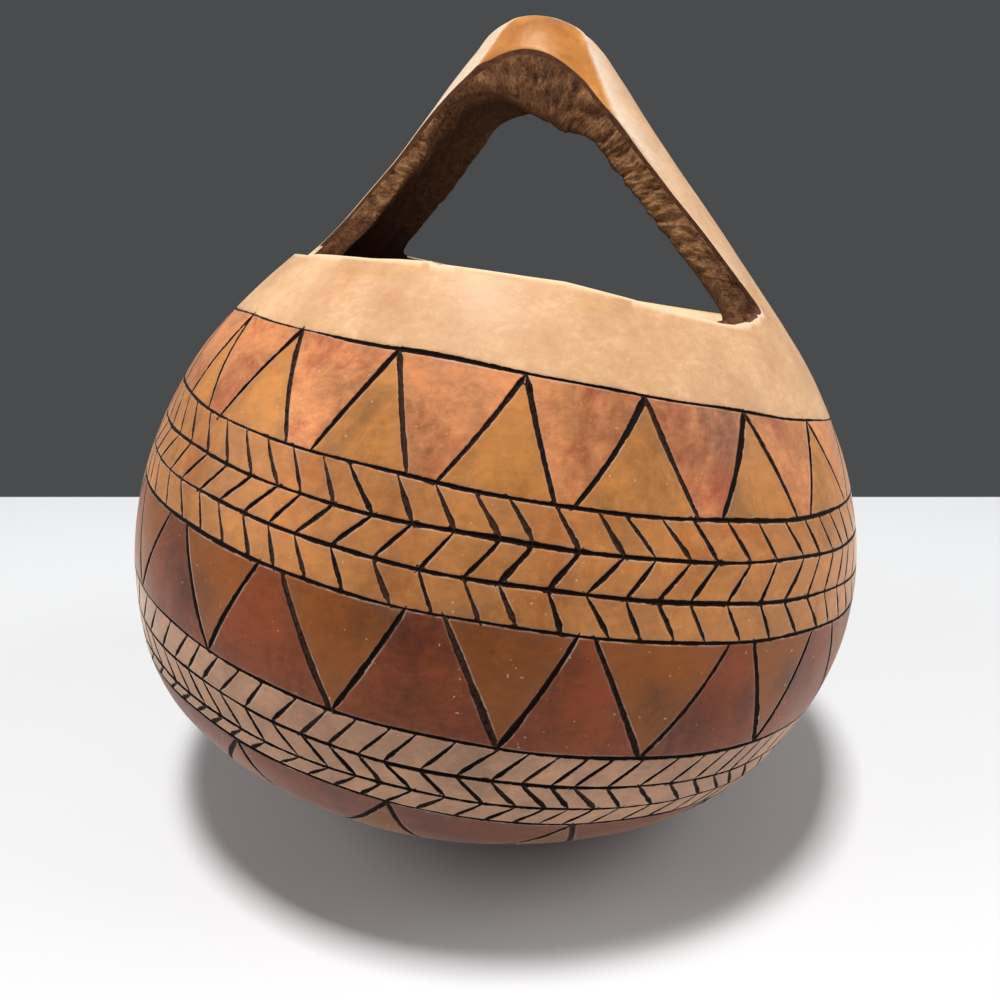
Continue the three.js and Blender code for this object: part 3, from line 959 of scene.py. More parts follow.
@dataclass
class OpenShell:
    """A turned surface with the mouth cut out of it, meshed flat and then bent round."""

    turning: Turning
    mouth: Array
    floor_height: float
    spacing: float
    gauge: float = 100.0
    columns: int = 240

    def flat(self, angle: Array, arc: Array) -> Array:
        """Rolls angles and lengths out flat."""
        return np.stack([np.radians(angle) * self.gauge, arc], -1)

    def mouth_angles(self) -> Array:
        """Gives the mouth's angles, running from -180 to 180."""
        angle = self.turning.angle_of(self.mouth)
        angle[0], angle[-1] = -180.0, 180.0
        return angle

    @property
    def edge(self) -> float:
        """Gives half the width of the rolled-out surface."""
        return math.pi * self.gauge

    def below_mouth(self, spots: Array, mouth: Array, floor: float) -> Array:
        """Tells which flat spots lie below the mouth."""
        low = floor - 5
        return inside_loop(spots, np.concatenate([mouth, [[self.edge, low], [-self.edge, low]]]))

    def add_course(
        self, points: list, edges: list, course: Array, first: tuple = (), last: tuple = ()
    ) -> None:
        """Adds a line for the mesh to follow, between vertices that are there already."""
        start = sum(len(block) for block in points)
        points.append(course)
        chain = [*first, *range(start, start + len(course)), *last]
        edges += zip(chain[:-1], chain[1:])

    def whole(self, carving: Carving | None, step: float) -> tuple[Array, Array, list, Array]:
        """Meshes the surface from the mouth down to the foot.

        Args:
            carving: The grooves that the mesh follows, if any.
            step: Distance between the rings below the floor line.

        Returns:
            Angles and lengths of the vertices, the faces, and the vertices of the mouth.
        """
        angle, arc, faces, rim, floor = self.mesh(carving)
        cap_angle, cap_arc, cap_faces = self.cap(len(angle), floor, step)
        return np.append(angle, cap_angle), np.append(arc, cap_arc), faces + cap_faces, rim

    def mesh(self, carving: Carving | None) -> tuple[Array, Array, list, Array, Array]:
        """Meshes the surface down to its floor line.

        Args:
            carving: The grooves that the mesh follows, if any.

        Returns:
            Angles and lengths of the vertices, the triangles, and the vertices of the mouth and the floor.
        """
        edge = self.edge
        floor = float(self.turning.profile.arc_at(self.floor_height))
        mouth = self.flat(self.mouth_angles(), self.turning.profile.arc_at(self.mouth[:, 2]))
        low = self.flat(np.linspace(-180, 180, self.columns + 1), np.full(self.columns + 1, floor))
        rise = np.arange(floor + self.spacing, mouth[0, 1] - 0.5, self.spacing)
        points, edges = [], []
        self.add_course(points, edges, mouth)
        self.add_course(points, edges, low)
        count = len(mouth) + len(low)
        for sign, mouth_end, low_end in ((-1, 0, len(mouth)), (1, len(mouth) - 1, count - 1)):
            side = np.stack([np.full(len(rise), sign * edge), rise], 1)
            self.add_course(points, edges, side, (low_end,), (mouth_end,))
        for angle, arc in carving.lines() if carving else ():
            for lap in LAPS:
                course = self.flat(angle + lap, arc)
                left, right = course[:, 0].min(), course[:, 0].max()
                if right > -edge and left < edge and not (lap and right - left > edge):
                    self.add_course(points, edges, course)
        points.append(self.filling(mouth, floor, carving))
        flat = np.concatenate(points)
        out, _, faces, origin, _, _ = delaunay_2d_cdt(
            [Vector(spot) for spot in flat.tolist()], edges, [], 0, 1e-5, True
        )
        flat_out = np.array([tuple(spot) for spot in out])
        triangles = np.array([face[:3] for face in faces])
        middles = flat_out[triangles].mean(1)
        keep = (np.abs(middles[:, 0]) < edge - 1e-6) & (middles[:, 1] > floor)
        high = np.nonzero(keep & (middles[:, 1] > mouth[:, 1].min() - 1.0))[0]
        keep[high] = self.below_mouth(middles[high], mouth, floor)
        home = {source: index for index, sources in enumerate(origin) for source in sources}
        mouth_ids = np.array([home[i] for i in range(len(mouth))])
        low_ids = np.array([home[len(mouth) + i] for i in range(len(low))])
        return self.close_seam(flat_out, triangles[keep], mouth_ids, low_ids)

    def filling(self, mouth: Array, floor: float, carving: Carving | None) -> Array:
        """Scatters the vertices between the lines in staggered rows, clear of lines and borders."""
        edge = self.edge
        rows = np.arange(floor + self.spacing, mouth[:, 1].max(), self.spacing * 0.87)
        spots = []
        for i, row in enumerate(rows):
            step = self.spacing * self.gauge / float(self.turning.profile.radius_along(row))
            count = int(2 * edge / step)
            across = -edge + (np.arange(count) + 0.25 + 0.5 * (i % 2)) * (2 * edge / count)
            spots.append(np.stack([across, np.full(count, row)], 1))
        spots = np.concatenate(spots)
        spots = spots[np.abs(spots[:, 0]) < edge - 0.3 * self.spacing]
        spots = spots[self.below_mouth(spots, mouth, floor)]
        high = spots[:, 1] > mouth[:, 1].min() - self.spacing
        clear = np.ones(len(spots), bool)
        for index in np.nonzero(high)[0]:
            away = np.hypot(mouth[:, 0] - spots[index, 0], mouth[:, 1] - spots[index, 1])
            clear[index] = away.min() > 0.5 * self.spacing
        spots = spots[clear]
        if carving:
            found = carving.measure(np.degrees(spots[:, 0] / self.gauge), spots[:, 1])
            spots = spots[found["near"] < 1 - (carving.lip + 0.55) / carving.near_width]
        return spots

    def close_seam(
        self, flat: Array, triangles: Array, mouth: Array, low: Array
    ) -> tuple[Array, Array, list, Array, Array]:
        """Joins the two ends of the rolled-out mesh at the back, and drops unused vertices."""
        edge = self.edge
        used = np.zeros(len(flat), bool)
        used[triangles.ravel()] = True
        left = np.nonzero(used & (flat[:, 0] < -edge + 1e-3))[0]
        right = np.nonzero(used & (flat[:, 0] > edge - 1e-3))[0]
        swap = np.arange(len(flat))
        left = left[np.argsort(flat[left, 1])]
        for index in right:
            nearest = left[np.abs(flat[left, 1] - flat[index, 1]).argmin()]
            if abs(flat[nearest, 1] - flat[index, 1]) < 0.02:
                swap[index] = nearest
        triangles = swap[triangles]
        used = np.zeros(len(flat), bool)
        used[triangles.ravel()] = True
        number = np.cumsum(used) - 1
        flat = flat[used]
        triangles = number[triangles]
        distinct = (triangles[:, 0] != triangles[:, 1]) & (triangles[:, 1] != triangles[:, 2])
        distinct &= triangles[:, 0] != triangles[:, 2]
        triangles = triangles[distinct]
        return (
            np.degrees(flat[:, 0] / self.gauge), flat[:, 1], triangles.tolist(),
            number[swap[mouth]], number[swap[low[:-1]]],
        )

    def cap(self, first: int, floor: Array, step: float) -> tuple[Array, Array, list]:
        """Closes the surface below its floor line with rings down to the foot.

        Args:
            first: Number of the first new vertex.
            floor: The floor line's vertices.
            step: Distance between the rings.

        Returns:
            Angles and lengths of the new vertices, and the faces.
        """
        start = float(self.turning.profile.arc_at(self.floor_height))
        end = float(self.turning.profile.arc[0])
        rings = np.arange(start - step, end + 0.5 * step, -step)
        angle = np.linspace(-180, 180, self.columns + 1)[:-1]
        angles = np.append(np.tile(angle, len(rings)), 0.0)
        arcs = np.append(np.repeat(rings, len(angle)), end)
        faces, above = [], np.asarray(floor)
        for _ in rings:
            here = first + np.arange(len(angle))
            faces += ladder(here, above, closed=True)
            first += len(angle)
            above = here
        faces += [(first, int(after), int(before)) for after, before in zip(np.roll(above, -1), above)]
        return angles, arcs, faces


def ladder(lower: Array, upper: Array, closed: bool = False) -> list:
    """Joins two rows of vertices with quads.

    Args:
        lower: Numbers of the first row.
        upper: Numbers of the second row.
        closed: Whether the rows are loops.

    Returns:
        The quads.
    """
    count = len(lower) if closed else len(lower) - 1
    quads = []
    for i in range(count):
        following = (i + 1) % len(lower)
        quads.append((int(lower[i]), int(lower[following]), int(upper[following]), int(upper[i])))
    return quads


def weave(rows: int, columns: int, closed: bool = False) -> list:
    """Joins the rows of a grid of vertices with quads, each row to the one before it."""
    row = np.arange(columns)
    quads = []
    for start in range(0, (rows - 1) * columns, columns):
        quads += ladder(row + start + columns, row + start, closed)
    return quads


def hang_rows(rim: Array, rows: list, first: int) -> list:
    """Joins a loop of vertices to the closed rows of new vertices that follow it.

    Args:
        rim: Numbers of the loop's vertices.
        rows: The new positions, row after row.
        first: Number of the first new vertex.

    Returns:
        The quads.
    """
    faces, before = [], rim
    for row in rows:
        ids = first + np.arange(len(row))
        faces += ladder(before, ids, closed=True)
        first += len(row)
        before = ids
    return faces


@dataclass
class NodeSheet:
    """A sheet of shader nodes that is being wired, of a material or of a group."""

    tree: bpy.types.NodeTree

    def node(self, kind: str, **settings: object) -> Node:
        """Adds a node and sets its properties."""
        made = self.tree.nodes.new(kind)
        for key, value in settings.items():
            setattr(made, key, value)
        return made

    def wire(self, source: Socket, target: Socket) -> None:
        """Joins two sockets."""
        self.tree.links.new(source, target)

    def feed(self, target: Socket, value: object) -> None:
        """Joins a socket to another, or sets it to a number or to a colour as seen on screen."""
        if isinstance(value, Socket):
            self.wire(value, target)
        else:
            target.default_value = shade(*value) if isinstance(value, tuple) else value

    def fill_in(self, node: Node, values: dict) -> None:
        """Joins or sets a node's inputs."""
        for key, value in values.items():
            self.feed(node.inputs[key], value)

    def mask(self, key: str, part: str = "Fac") -> Socket:
        """Reads a painted mask, as one number or as a vector."""
        return self.node("ShaderNodeAttribute", attribute_name=key).outputs[part]

    def place(self) -> Socket:
        """Gives the place on the object in metres."""
        return self.node("ShaderNodeTexCoord").outputs["Object"]

    def place_group(self, name: str, takes: dict) -> dict:
        """Places a shared group, joins what it takes, and gives its results by name."""
        made = self.node("ShaderNodeGroup")
        made.node_tree = bpy.data.node_groups[name]
        self.fill_in(made, takes)
        return dict(made.outputs.items())

    def bump(self, shader: Node, height: Socket, strength: object, distance: float) -> None:
        """Raises a shader's surface by a height, at a strength and a distance in metres."""
        made = self.node("ShaderNodeBump")
        self.fill_in(made, {"Strength": strength, "Distance": distance, "Height": height})
        self.wire(made.outputs["Normal"], shader.inputs["Normal"])

    def sums(self, operation: str, first: object, second: object, clamp: bool = False) -> Socket:
        """Works out one number from two."""
        made = self.node("ShaderNodeMath", operation=operation, use_clamp=clamp)
        self.fill_in(made, {0: first, 1: second})
        return made.outputs[0]

    def times(self, first: object, second: object) -> Socket:
        """Multiplies two numbers."""
        return self.sums("MULTIPLY", first, second)

    def plus(self, first: object, second: object, clamp: bool = False) -> Socket:
        """Adds two numbers."""
        return self.sums("ADD", first, second, clamp)

    def span(
        self, value: object, low: float, high: float, to_low: float = 0.0, to_high: float = 1.0
    ) -> Socket:
        """Stretches a range of values to another, held at its ends."""
        made = self.node("ShaderNodeMapRange", clamp=True)
        self.fill_in(made, {
            "Value": value, "From Min": low, "From Max": high, "To Min": to_low, "To Max": to_high,
        })
        return made.outputs["Result"]

    def grain(
        self, vector: Socket, scale: float, detail: float, roughness: float, distortion: float = 0.0
    ) -> Socket:
        """Gives soft noise of a number of lumps to the unit."""
        made = self.node("ShaderNodeTexNoise")
        self.fill_in(made, {
            "Vector": vector, "Scale": scale, "Detail": detail, "Roughness": roughness,
            "Distortion": distortion,
        })
        return made.outputs["Fac"]

    def stretch(self, vector: Socket, *scale: float) -> Socket:
        """Scales a vector along its axes."""
        made = self.node("ShaderNodeMapping")
        self.wire(vector, made.inputs["Vector"])
        made.inputs["Scale"].default_value = scale
        return made.outputs["Vector"]

    def tint(self, share: object, first: object, second: object, blend: str = "MIX") -> Socket:
        """Mixes two colours."""
        made = self.node("ShaderNodeMix", data_type="RGBA", blend_type=blend)
        self.fill_in(made, {"Factor": share, 6: first, 7: second})
        return made.outputs[2]

    def steps(self, value: Socket, stops: list, stepped: bool = False) -> Socket:
        """Turns a number into a colour.

        Args:
            value: The number, 0 to 1.
            stops: Places and colours as seen on screen.
            stepped: Whether the colours change at once.

        Returns:
            The colour.
        """
        made = self.node("ShaderNodeValToRGB")
        ramp = made.color_ramp
        ramp.interpolation = "CONSTANT" if stepped else "LINEAR"
        while len(ramp.elements) > 1:
            ramp.elements.remove(ramp.elements[-1])
        for i, (place, colour) in enumerate(stops):
            stop = ramp.elements.new(place) if i else ramp.elements[0]
            stop.position, stop.color = place, shade(*colour)
        self.wire(value, made.inputs[0])
        return made.outputs["Color"]


def shade(red: int, green: int, blue: int) -> tuple[float, float, float, float]:
    """Turns a colour as seen on screen into the renderer's own numbers."""
    linear = []
    for part in (red, green, blue):
        part /= 255.0
        linear.append(part / 12.92 if part <= 0.04045 else ((part + 0.055) / 1.055) ** 2.4)
    return (*linear, 1.0)


def new_group(name: str, takes: dict, gives: tuple) -> tuple[NodeSheet, Node, Node]:
    """Starts a shared shader group.

    Args:
        name: The group's name.
        takes: Its input sockets and their types.
        gives: Its output sockets, which are plain numbers.

    Returns:
        The group's sheet, its input node and its output node.
    """
    group = bpy.data.node_groups.new(name, "ShaderNodeTree")
    for key, kind in takes.items():
        group.interface.new_socket(key, in_out="INPUT", socket_type="NodeSocket" + kind)
    for key in gives:
        group.interface.new_socket(key, in_out="OUTPUT", socket_type="NodeSocketFloat")
    sheet = NodeSheet(group)
    return sheet, sheet.node("NodeGroupInput"), sheet.node("NodeGroupOutput")


def start_material(name: str) -> tuple[Material, NodeSheet, Node]:
    """Starts a material, and gives it with its sheet and its shader."""
    material = bpy.data.materials.new(name)
    material.use_nodes = True
    return material, NodeSheet(material.node_tree), material.node_tree.nodes["Principled BSDF"]


def skin_mottle() -> None:
    """Makes the shared group for mottled skin: clouds, brush marks, smudges, specks and height."""
    outputs = ("Clouds", "Patches", "Brush", "Smudges", "Specks", "Height")
    sheet, source, out = new_group("skin_mottle", {"Place": "Vector"}, outputs)
    place = source.outputs["Place"]
    clouds = sheet.grain(place, 24.0, 4.0, 0.6, 0.5)
    patches = sheet.grain(sheet.stretch(place, 1.0, 1.0, 0.8), 70.0, 8.0, 0.7, 0.2)
    brush = sheet.grain(sheet.stretch(place, 1.0, 1.0, 1.9), 320.0, 5.0, 0.72, 0.3)
    blots = sheet.grain(sheet.stretch(place, 1.2, 1.2, 0.75), 42.0, 6.0, 0.7, 0.5)
    specks = sheet.grain(place, 780.0, 1.0, 0.5)
    sheet.fill_in(out, {
        "Clouds": sheet.span(clouds, 0.34, 0.66),
        "Patches": sheet.span(patches, 0.36, 0.66),
        "Brush": sheet.span(brush, 0.34, 0.68),
        "Smudges": sheet.span(blots, 0.5, 0.68),
        "Specks": sheet.span(specks, 0.755, 0.79),
        "Height": sheet.plus(sheet.times(patches, 0.5), sheet.times(brush, 0.2)),
    })


def gouge_marks() -> None:
    """Makes the shared group for the gouged lines: black filling, worn bed, pale shoulder with a painted
    highlight on its lower side, and smudge.
    """
    takes = {"Place": "Vector", "Line": "Float", "Near": "Float", "Fill": "Float", "Lee": "Float"}
    sheet, source, out = new_group("gouge_marks", takes, ("Black", "Worn", "Edge", "Smudge"))
    place, line, near, fill, lee = (source.outputs[name] for name in takes)
    ragged = sheet.grain(place, 1100.0, 3.0, 0.6)
    torn = sheet.grain(place, 380.0, 2.0, 0.5)
    stretches = sheet.grain(place, 115.0, 2.0, 0.5)
    shifted = sheet.plus(line, sheet.span(ragged, 0.3, 0.7, -0.13, 0.13))
    shifted = sheet.plus(shifted, sheet.span(torn, 0.35, 0.65, -0.12, 0.12))
    edge = sheet.times(sheet.span(shifted, 0.98, 1.12), sheet.span(shifted, 1.4, 1.95, 1.0, 0.0))
    edge = sheet.times(edge, sheet.span(torn, 0.34, 0.6, 0.25, 1.0))
    # The pale shoulder is stronger below and to the right of a groove: a painted highlight where the lower
    # wall faces the light.
    side = sheet.times(sheet.span(lee, 0.0, 1.0, 0.3, 1.0), sheet.span(stretches, 0.38, 0.6, 0.2, 1.0))
    dusty = sheet.grain(place, 1250.0, 2.0, 0.6)
    missing = sheet.sums("SUBTRACT", 1.0, fill)
    worn = sheet.span(sheet.plus(dusty, sheet.times(missing, 0.5)), 0.5, 0.72)
    worn = sheet.times(worn, sheet.span(missing, 0.03, 0.3))
    haze = sheet.grain(place, 150.0, 3.0, 0.6, 0.6)
    sheet.fill_in(out, {
        "Black": sheet.span(shifted, 0.96, 1.12, 1.0, 0.0),
        "Worn": sheet.times(worn, sheet.span(line, 0.55, 0.95, 1.0, 0.15)),
        "Edge": sheet.times(edge, side),
        "Smudge": sheet.times(sheet.sums("POWER", near, 2.2), sheet.span(haze, 0.4, 0.72)),
    })


def fibre_grain() -> None:
    """Makes the shared group for the gourd's fibrous flesh: short fibres, clumps, pits and roughness."""
    outputs = ("Fibres", "Clumps", "Pits", "Height")
    sheet, source, out = new_group("fibre_grain", {"Wall": "Vector"}, outputs)
    wall = source.outputs["Wall"]
    fibres = sheet.grain(sheet.stretch(wall, 1.5, 0.85, 1.5), 1.0, 5.0, 0.7, 0.8)
    clumps = sheet.grain(sheet.stretch(wall, 0.34, 0.22, 0.34), 1.0, 4.0, 0.62, 0.6)
    pits = sheet.grain(sheet.stretch(wall, 0.62, 0.45, 0.62), 1.0, 3.0, 0.55, 0.4)
    sheet.fill_in(out, {
        "Fibres": sheet.span(fibres, 0.34, 0.66),
        "Clumps": sheet.span(clumps, 0.34, 0.66),
        "Pits": sheet.span(pits, 0.6, 0.68),
        "Height": sheet.plus(sheet.times(fibres, 0.9), sheet.times(clumps, 0.6)),
    })


@dataclass(frozen=True)
class SkinFinish:
    """The gourd's skin: satin, mottled, and where it is carved also stained and black lined."""

    name: str
    carved: bool
    roughness: float = 0.5
    specular: float = 0.16
    coat: float = 0.12
    coat_roughness: float = 0.35
    sheen_weight: float = 0.35
    sheen_roughness: float = 0.3
    bump_strength: float = 0.4
    bump_height: float = 0.0005
    brushed: float = 0.4
    plain: tuple = (226, 177, 130)
    plain_warm: tuple = (220, 165, 116)
    plain_pale: tuple = (240, 206, 164)
    # The colours run from the plain top to the foot; the lower bands are darker, partly as painted shade of
    # the gourd's underside.
    band_colours: tuple = (
        (230, 178, 128), (200, 130, 66), (193, 129, 72), (144, 78, 27), (182, 138, 108), (124, 70, 32),
        (104, 46, 18),
    )
    stain_colours: tuple = (
        (230, 178, 128), (212, 139, 87), (193, 129, 72), (128, 60, 23), (182, 138, 108), (106, 52, 28),
        (104, 46, 18),
    )
    blot_colours: tuple = (
        (238, 208, 170), (140, 96, 52), (170, 96, 44), (104, 62, 30), (166, 118, 92), (100, 66, 42),
        (108, 70, 48),
    )
    stain_blot_colours: tuple = (
        (238, 208, 170), (150, 70, 44), (170, 98, 46), (84, 36, 24), (158, 112, 86), (86, 44, 32),
        (108, 70, 48),
    )
    pitch: tuple = (24, 10, 6)
    dust: tuple = (66, 44, 32)
    pale_chip_and_highlight: tuple = (190, 164, 146)
    haze: tuple = (122, 92, 82)
    arris: tuple = (248, 222, 184)
    sheen: tuple = (255, 236, 218)
    facet: tuple = ((0.0, (182, 111, 46)), (0.6, (196, 127, 56)), (1.0, (214, 152, 82)))
    pale_scratch_and_highlight: tuple = (246, 226, 202)
    # Pale cream beside the crown's creases: partly scratches, partly a painted highlight.
    flesh: tuple = (112, 70, 45)
    flesh_dark: tuple = (66, 36, 24)

    def build(self) -> Material:
        """Makes the material."""
        material, sheet, shader = start_material(self.name)
        place = sheet.place()
        mottle = sheet.place_group("skin_mottle", {"Place": place})
        brush = mottle["Brush"]
        colour = self.fields(sheet, mottle) if self.carved else self.bare(sheet, mottle)
        colour = self.weather(sheet, colour, mottle)
        rough = sheet.span(mottle["Patches"], 0.0, 1.0, self.roughness - 0.08, self.roughness + 0.1)
        coat = self.coat
        if self.carved:
            colour, rough = self.line(sheet, colour, rough, place)
            coat = sheet.span(sheet.mask("line"), 0.9, 1.1, 0.0, self.coat)
        else:
            # Painted highlight along the crown's creases, partly pale scratches.
            scratch_and_highlight_share = sheet.times(sheet.mask("scratch_and_highlight"), sheet.span(brush, 0.0, 0.7, 0.55, 1.0))
            colour = sheet.tint(scratch_and_highlight_share, colour, self.pale_scratch_and_highlight)
        colour = sheet.tint(sheet.span(sheet.mask("arris"), 0.45, 0.95, 0.0, 0.85), colour, self.arris)
        torn = sheet.plus(sheet.mask("cut"), sheet.span(brush, 0.0, 1.0, -0.2, 0.2))
        torn = sheet.span(torn, 0.4, 0.75)
        flesh = sheet.tint(brush, self.flesh_dark, self.flesh)
        sheet.fill_in(shader, {
            "Base Color": sheet.tint(torn, colour, flesh), "Roughness": sheet.sums("MAXIMUM", rough, torn),
            "Specular IOR Level": self.specular, "Sheen Weight": self.sheen_weight,
            "Sheen Roughness": self.sheen_roughness, "Sheen Tint": self.sheen,
            "Coat Weight": coat, "Coat Roughness": self.coat_roughness,
        })
        sheet.bump(shader, mottle["Height"], self.bump_strength, self.bump_height)
        return material

    def ground(self, sheet: NodeSheet, mottle: dict, paleness: float) -> Socket:
        """Lays the uncarved skin's colour: warm clouds, with pale brush marks of a given strength."""
        colour = sheet.tint(mottle["Clouds"], self.plain_warm, self.plain)
        dabs = sheet.times(mottle["Brush"], mottle["Patches"])
        return sheet.tint(sheet.times(dabs, paleness), colour, self.plain_pale)

    def bare(self, sheet: NodeSheet, mottle: dict) -> Socket:
        """Lays the handle skin's colour, with the scraped tan facet of the crown."""
        scraped = sheet.steps(mottle["Patches"], self.facet)
        return sheet.tint(sheet.mask("facet"), self.ground(sheet, mottle, self.brushed), scraped)

    def fields(self, sheet: NodeSheet, mottle: dict) -> Socket:
        """Lays the carved skin's colour by field, with its own blots in each."""
        bands = float(len(self.band_colours))
        share = sheet.plus(sheet.sums("DIVIDE", sheet.mask("band"), bands), 0.02)
        ramps = []
        for colours in (self.band_colours, self.stain_colours, self.blot_colours, self.stain_blot_colours):
            ramps.append(sheet.steps(share, [(i / bands, entry) for i, entry in enumerate(colours)], True))
        stain = sheet.mask("stain")
        dyed = sheet.tint(stain, ramps[0], ramps[1])
        blots = sheet.tint(stain, ramps[2], ramps[3])
        patches = sheet.times(mottle["Patches"], 0.3)
        blotted = sheet.plus(sheet.times(mottle["Smudges"], 0.75), patches, True)
        colour = sheet.tint(blotted, dyed, blots)
        plain = self.ground(sheet, mottle, self.brushed + 0.1)
        return sheet.tint(sheet.span(sheet.mask("band"), 0.4, 0.6), plain, colour)

    def weather(self, sheet: NodeSheet, colour: Socket, mottle: dict) -> Socket:
        """Adds the lighter and darker clouds and brush marks, and the tiny pale specks."""
        light = sheet.plus(sheet.times(mottle["Clouds"], 0.3), sheet.times(mottle["Brush"], 0.2))
        light = sheet.plus(light, sheet.times(mottle["Patches"], 0.34))
        strength = self.brushed
        if self.carved:
            by_band = sheet.span(sheet.mask("band"), 0.4, 0.6, self.brushed, 1.0)
            strength = sheet.times(by_band, sheet.span(sheet.mask("stain"), 0.0, 1.0, 1.15, 1.9))
        light = sheet.plus(sheet.times(sheet.sums("SUBTRACT", light, 0.36), strength), 1.0)
        if self.carved:
            light = sheet.times(light, sheet.span(sheet.mask("tone"), -1.0, 1.0, 0.93, 1.06))
        grey = sheet.node("ShaderNodeCombineColor")
        sheet.fill_in(grey, {i: light for i in range(3)})
        colour = sheet.tint(1.0, colour, grey.outputs[0], "MULTIPLY")
        return sheet.tint(sheet.times(mottle["Specks"], 0.45), colour, self.plain_pale)

    def line(self, sheet: NodeSheet, colour: Socket, rough: Socket, place: Socket) -> tuple[Socket, Socket]:
        """Adds the gouged lines' smudge, pale shoulder (partly bare chipped skin, partly painted highlight
        on the lower side) and black filling.

        Args:
            sheet: The material's sheet.
            colour: The skin's colour so far.
            rough: The skin's roughness so far.
            place: The place on the object.

        Returns:
            The colour and the roughness with the lines.
        """
        masks = {key: sheet.mask(key.lower()) for key in ("Line", "Near", "Fill", "Lee")}
        marks = sheet.place_group("gouge_marks", {"Place": place, **masks})
        colour = sheet.tint(sheet.times(marks["Smudge"], 0.34), colour, self.haze)
        # Pale shoulder: partly bare chipped skin, partly painted highlight on the groove's lower side.
        colour = sheet.tint(sheet.times(marks["Edge"], 0.6), colour, self.pale_chip_and_highlight)
        filling = sheet.tint(marks["Worn"], self.pitch, self.dust)
        rough = sheet.sums("MAXIMUM", rough, sheet.times(marks["Black"], 0.95))
        return sheet.tint(marks["Black"], colour, filling), rough


@dataclass(frozen=True)
class FleshFinish:
    """The gourd's cut and inner flesh: brown and fibrous, and pale where the rim was sanded."""

    name: str
    fibres: tuple = ((0.18, (66, 37, 24)), (0.5, (134, 88, 56)), (0.84, (190, 140, 94)))
    # Inner face colour: partly the flesh's own darker red, partly painted shade of the underside.
    inner: tuple = (78, 40, 24)
    dusky: tuple = (72, 36, 22)
    pit: tuple = (40, 22, 15)
    sanded: tuple = (246, 216, 172)
    sanded_dark: tuple = (222, 176, 126)
    roughness: float = 0.95
    sanded_roughness: float = 0.68
    specular: float = 0.2
    bump_strength: float = 0.85
    sanded_bump: float = 0.12
    bump_height: float = 0.0016

    def build(self) -> Material:
        """Makes the material."""
        material, sheet, shader = start_material(self.name)
        fibre = sheet.place_group("fibre_grain", {"Wall": sheet.mask("wall", "Vector")})
        clumps, sanded = fibre["Clumps"], sheet.mask("sanded")
        mix = sheet.plus(sheet.times(fibre["Fibres"], 0.36), sheet.times(clumps, 0.24))
        # Lighter on the torn flesh's tops and darker in its hollows: partly dust, partly painted shade.
        mix = sheet.plus(mix, sheet.span(sheet.mask("torn"), 0.1, 0.9, 0.0, 0.4), True)
        colour = sheet.steps(mix, self.fibres)
        # Painted shade: the underside and inner face are darker and redder, partly the flesh's own colour.
        reached = sheet.plus(sheet.mask("depth"), sheet.span(clumps, 0.0, 1.0, -0.1, 0.1))
        colour = sheet.tint(sheet.span(reached, 0.82, 1.06, 0.0, 0.75), colour, self.inner)
        # Darker and redder at the strap's feet near the rim, partly painted shade; a red band below the
        # right leg's skin.
        dusk = sheet.times(sheet.mask("dusk"), sheet.span(clumps, 0.0, 1.0, 1.0, 0.6))
        colour = sheet.tint(dusk, colour, self.dusky)
        colour = sheet.tint(sheet.times(fibre["Pits"], 0.65), colour, self.pit)
        grain = sheet.span(sheet.grain(sheet.place(), 520.0, 3.0, 0.6), 0.3, 0.7, 0.0, 0.45)
        rim = sheet.tint(grain, self.sanded, self.sanded_dark)
        sheet.fill_in(shader, {
            "Base Color": sheet.tint(sanded, colour, rim),
            "Roughness": sheet.span(sanded, 0.0, 1.0, self.roughness, self.sanded_roughness),
            "Specular IOR Level": self.specular,
        })
        strength = sheet.span(sanded, 0.0, 1.0, self.bump_strength, self.sanded_bump)
        sheet.bump(shader, fibre["Height"], strength, self.bump_height)
        return material


@dataclass(frozen=True)
class CorkFinish:
    """The crumbly cork of the stem scar."""

    name: str = "stem_cork"
    crumbs: tuple = ((0.34, (96, 60, 36)), (0.62, (182, 134, 88)))
    roughness: float = 0.95
    bump_strength: float = 0.8
    bump_height: float = 0.0008

    def build(self) -> Material:
        """Makes the material."""
        material, sheet, shader = start_material(self.name)
        grain = sheet.grain(sheet.place(), 700.0, 4.0, 0.7, 0.6)
        colour = sheet.steps(grain, self.crumbs)
        sheet.fill_in(shader, {"Base Color": colour, "Roughness": self.roughness})
        sheet.bump(shader, grain, self.bump_strength, self.bump_height)
        return material


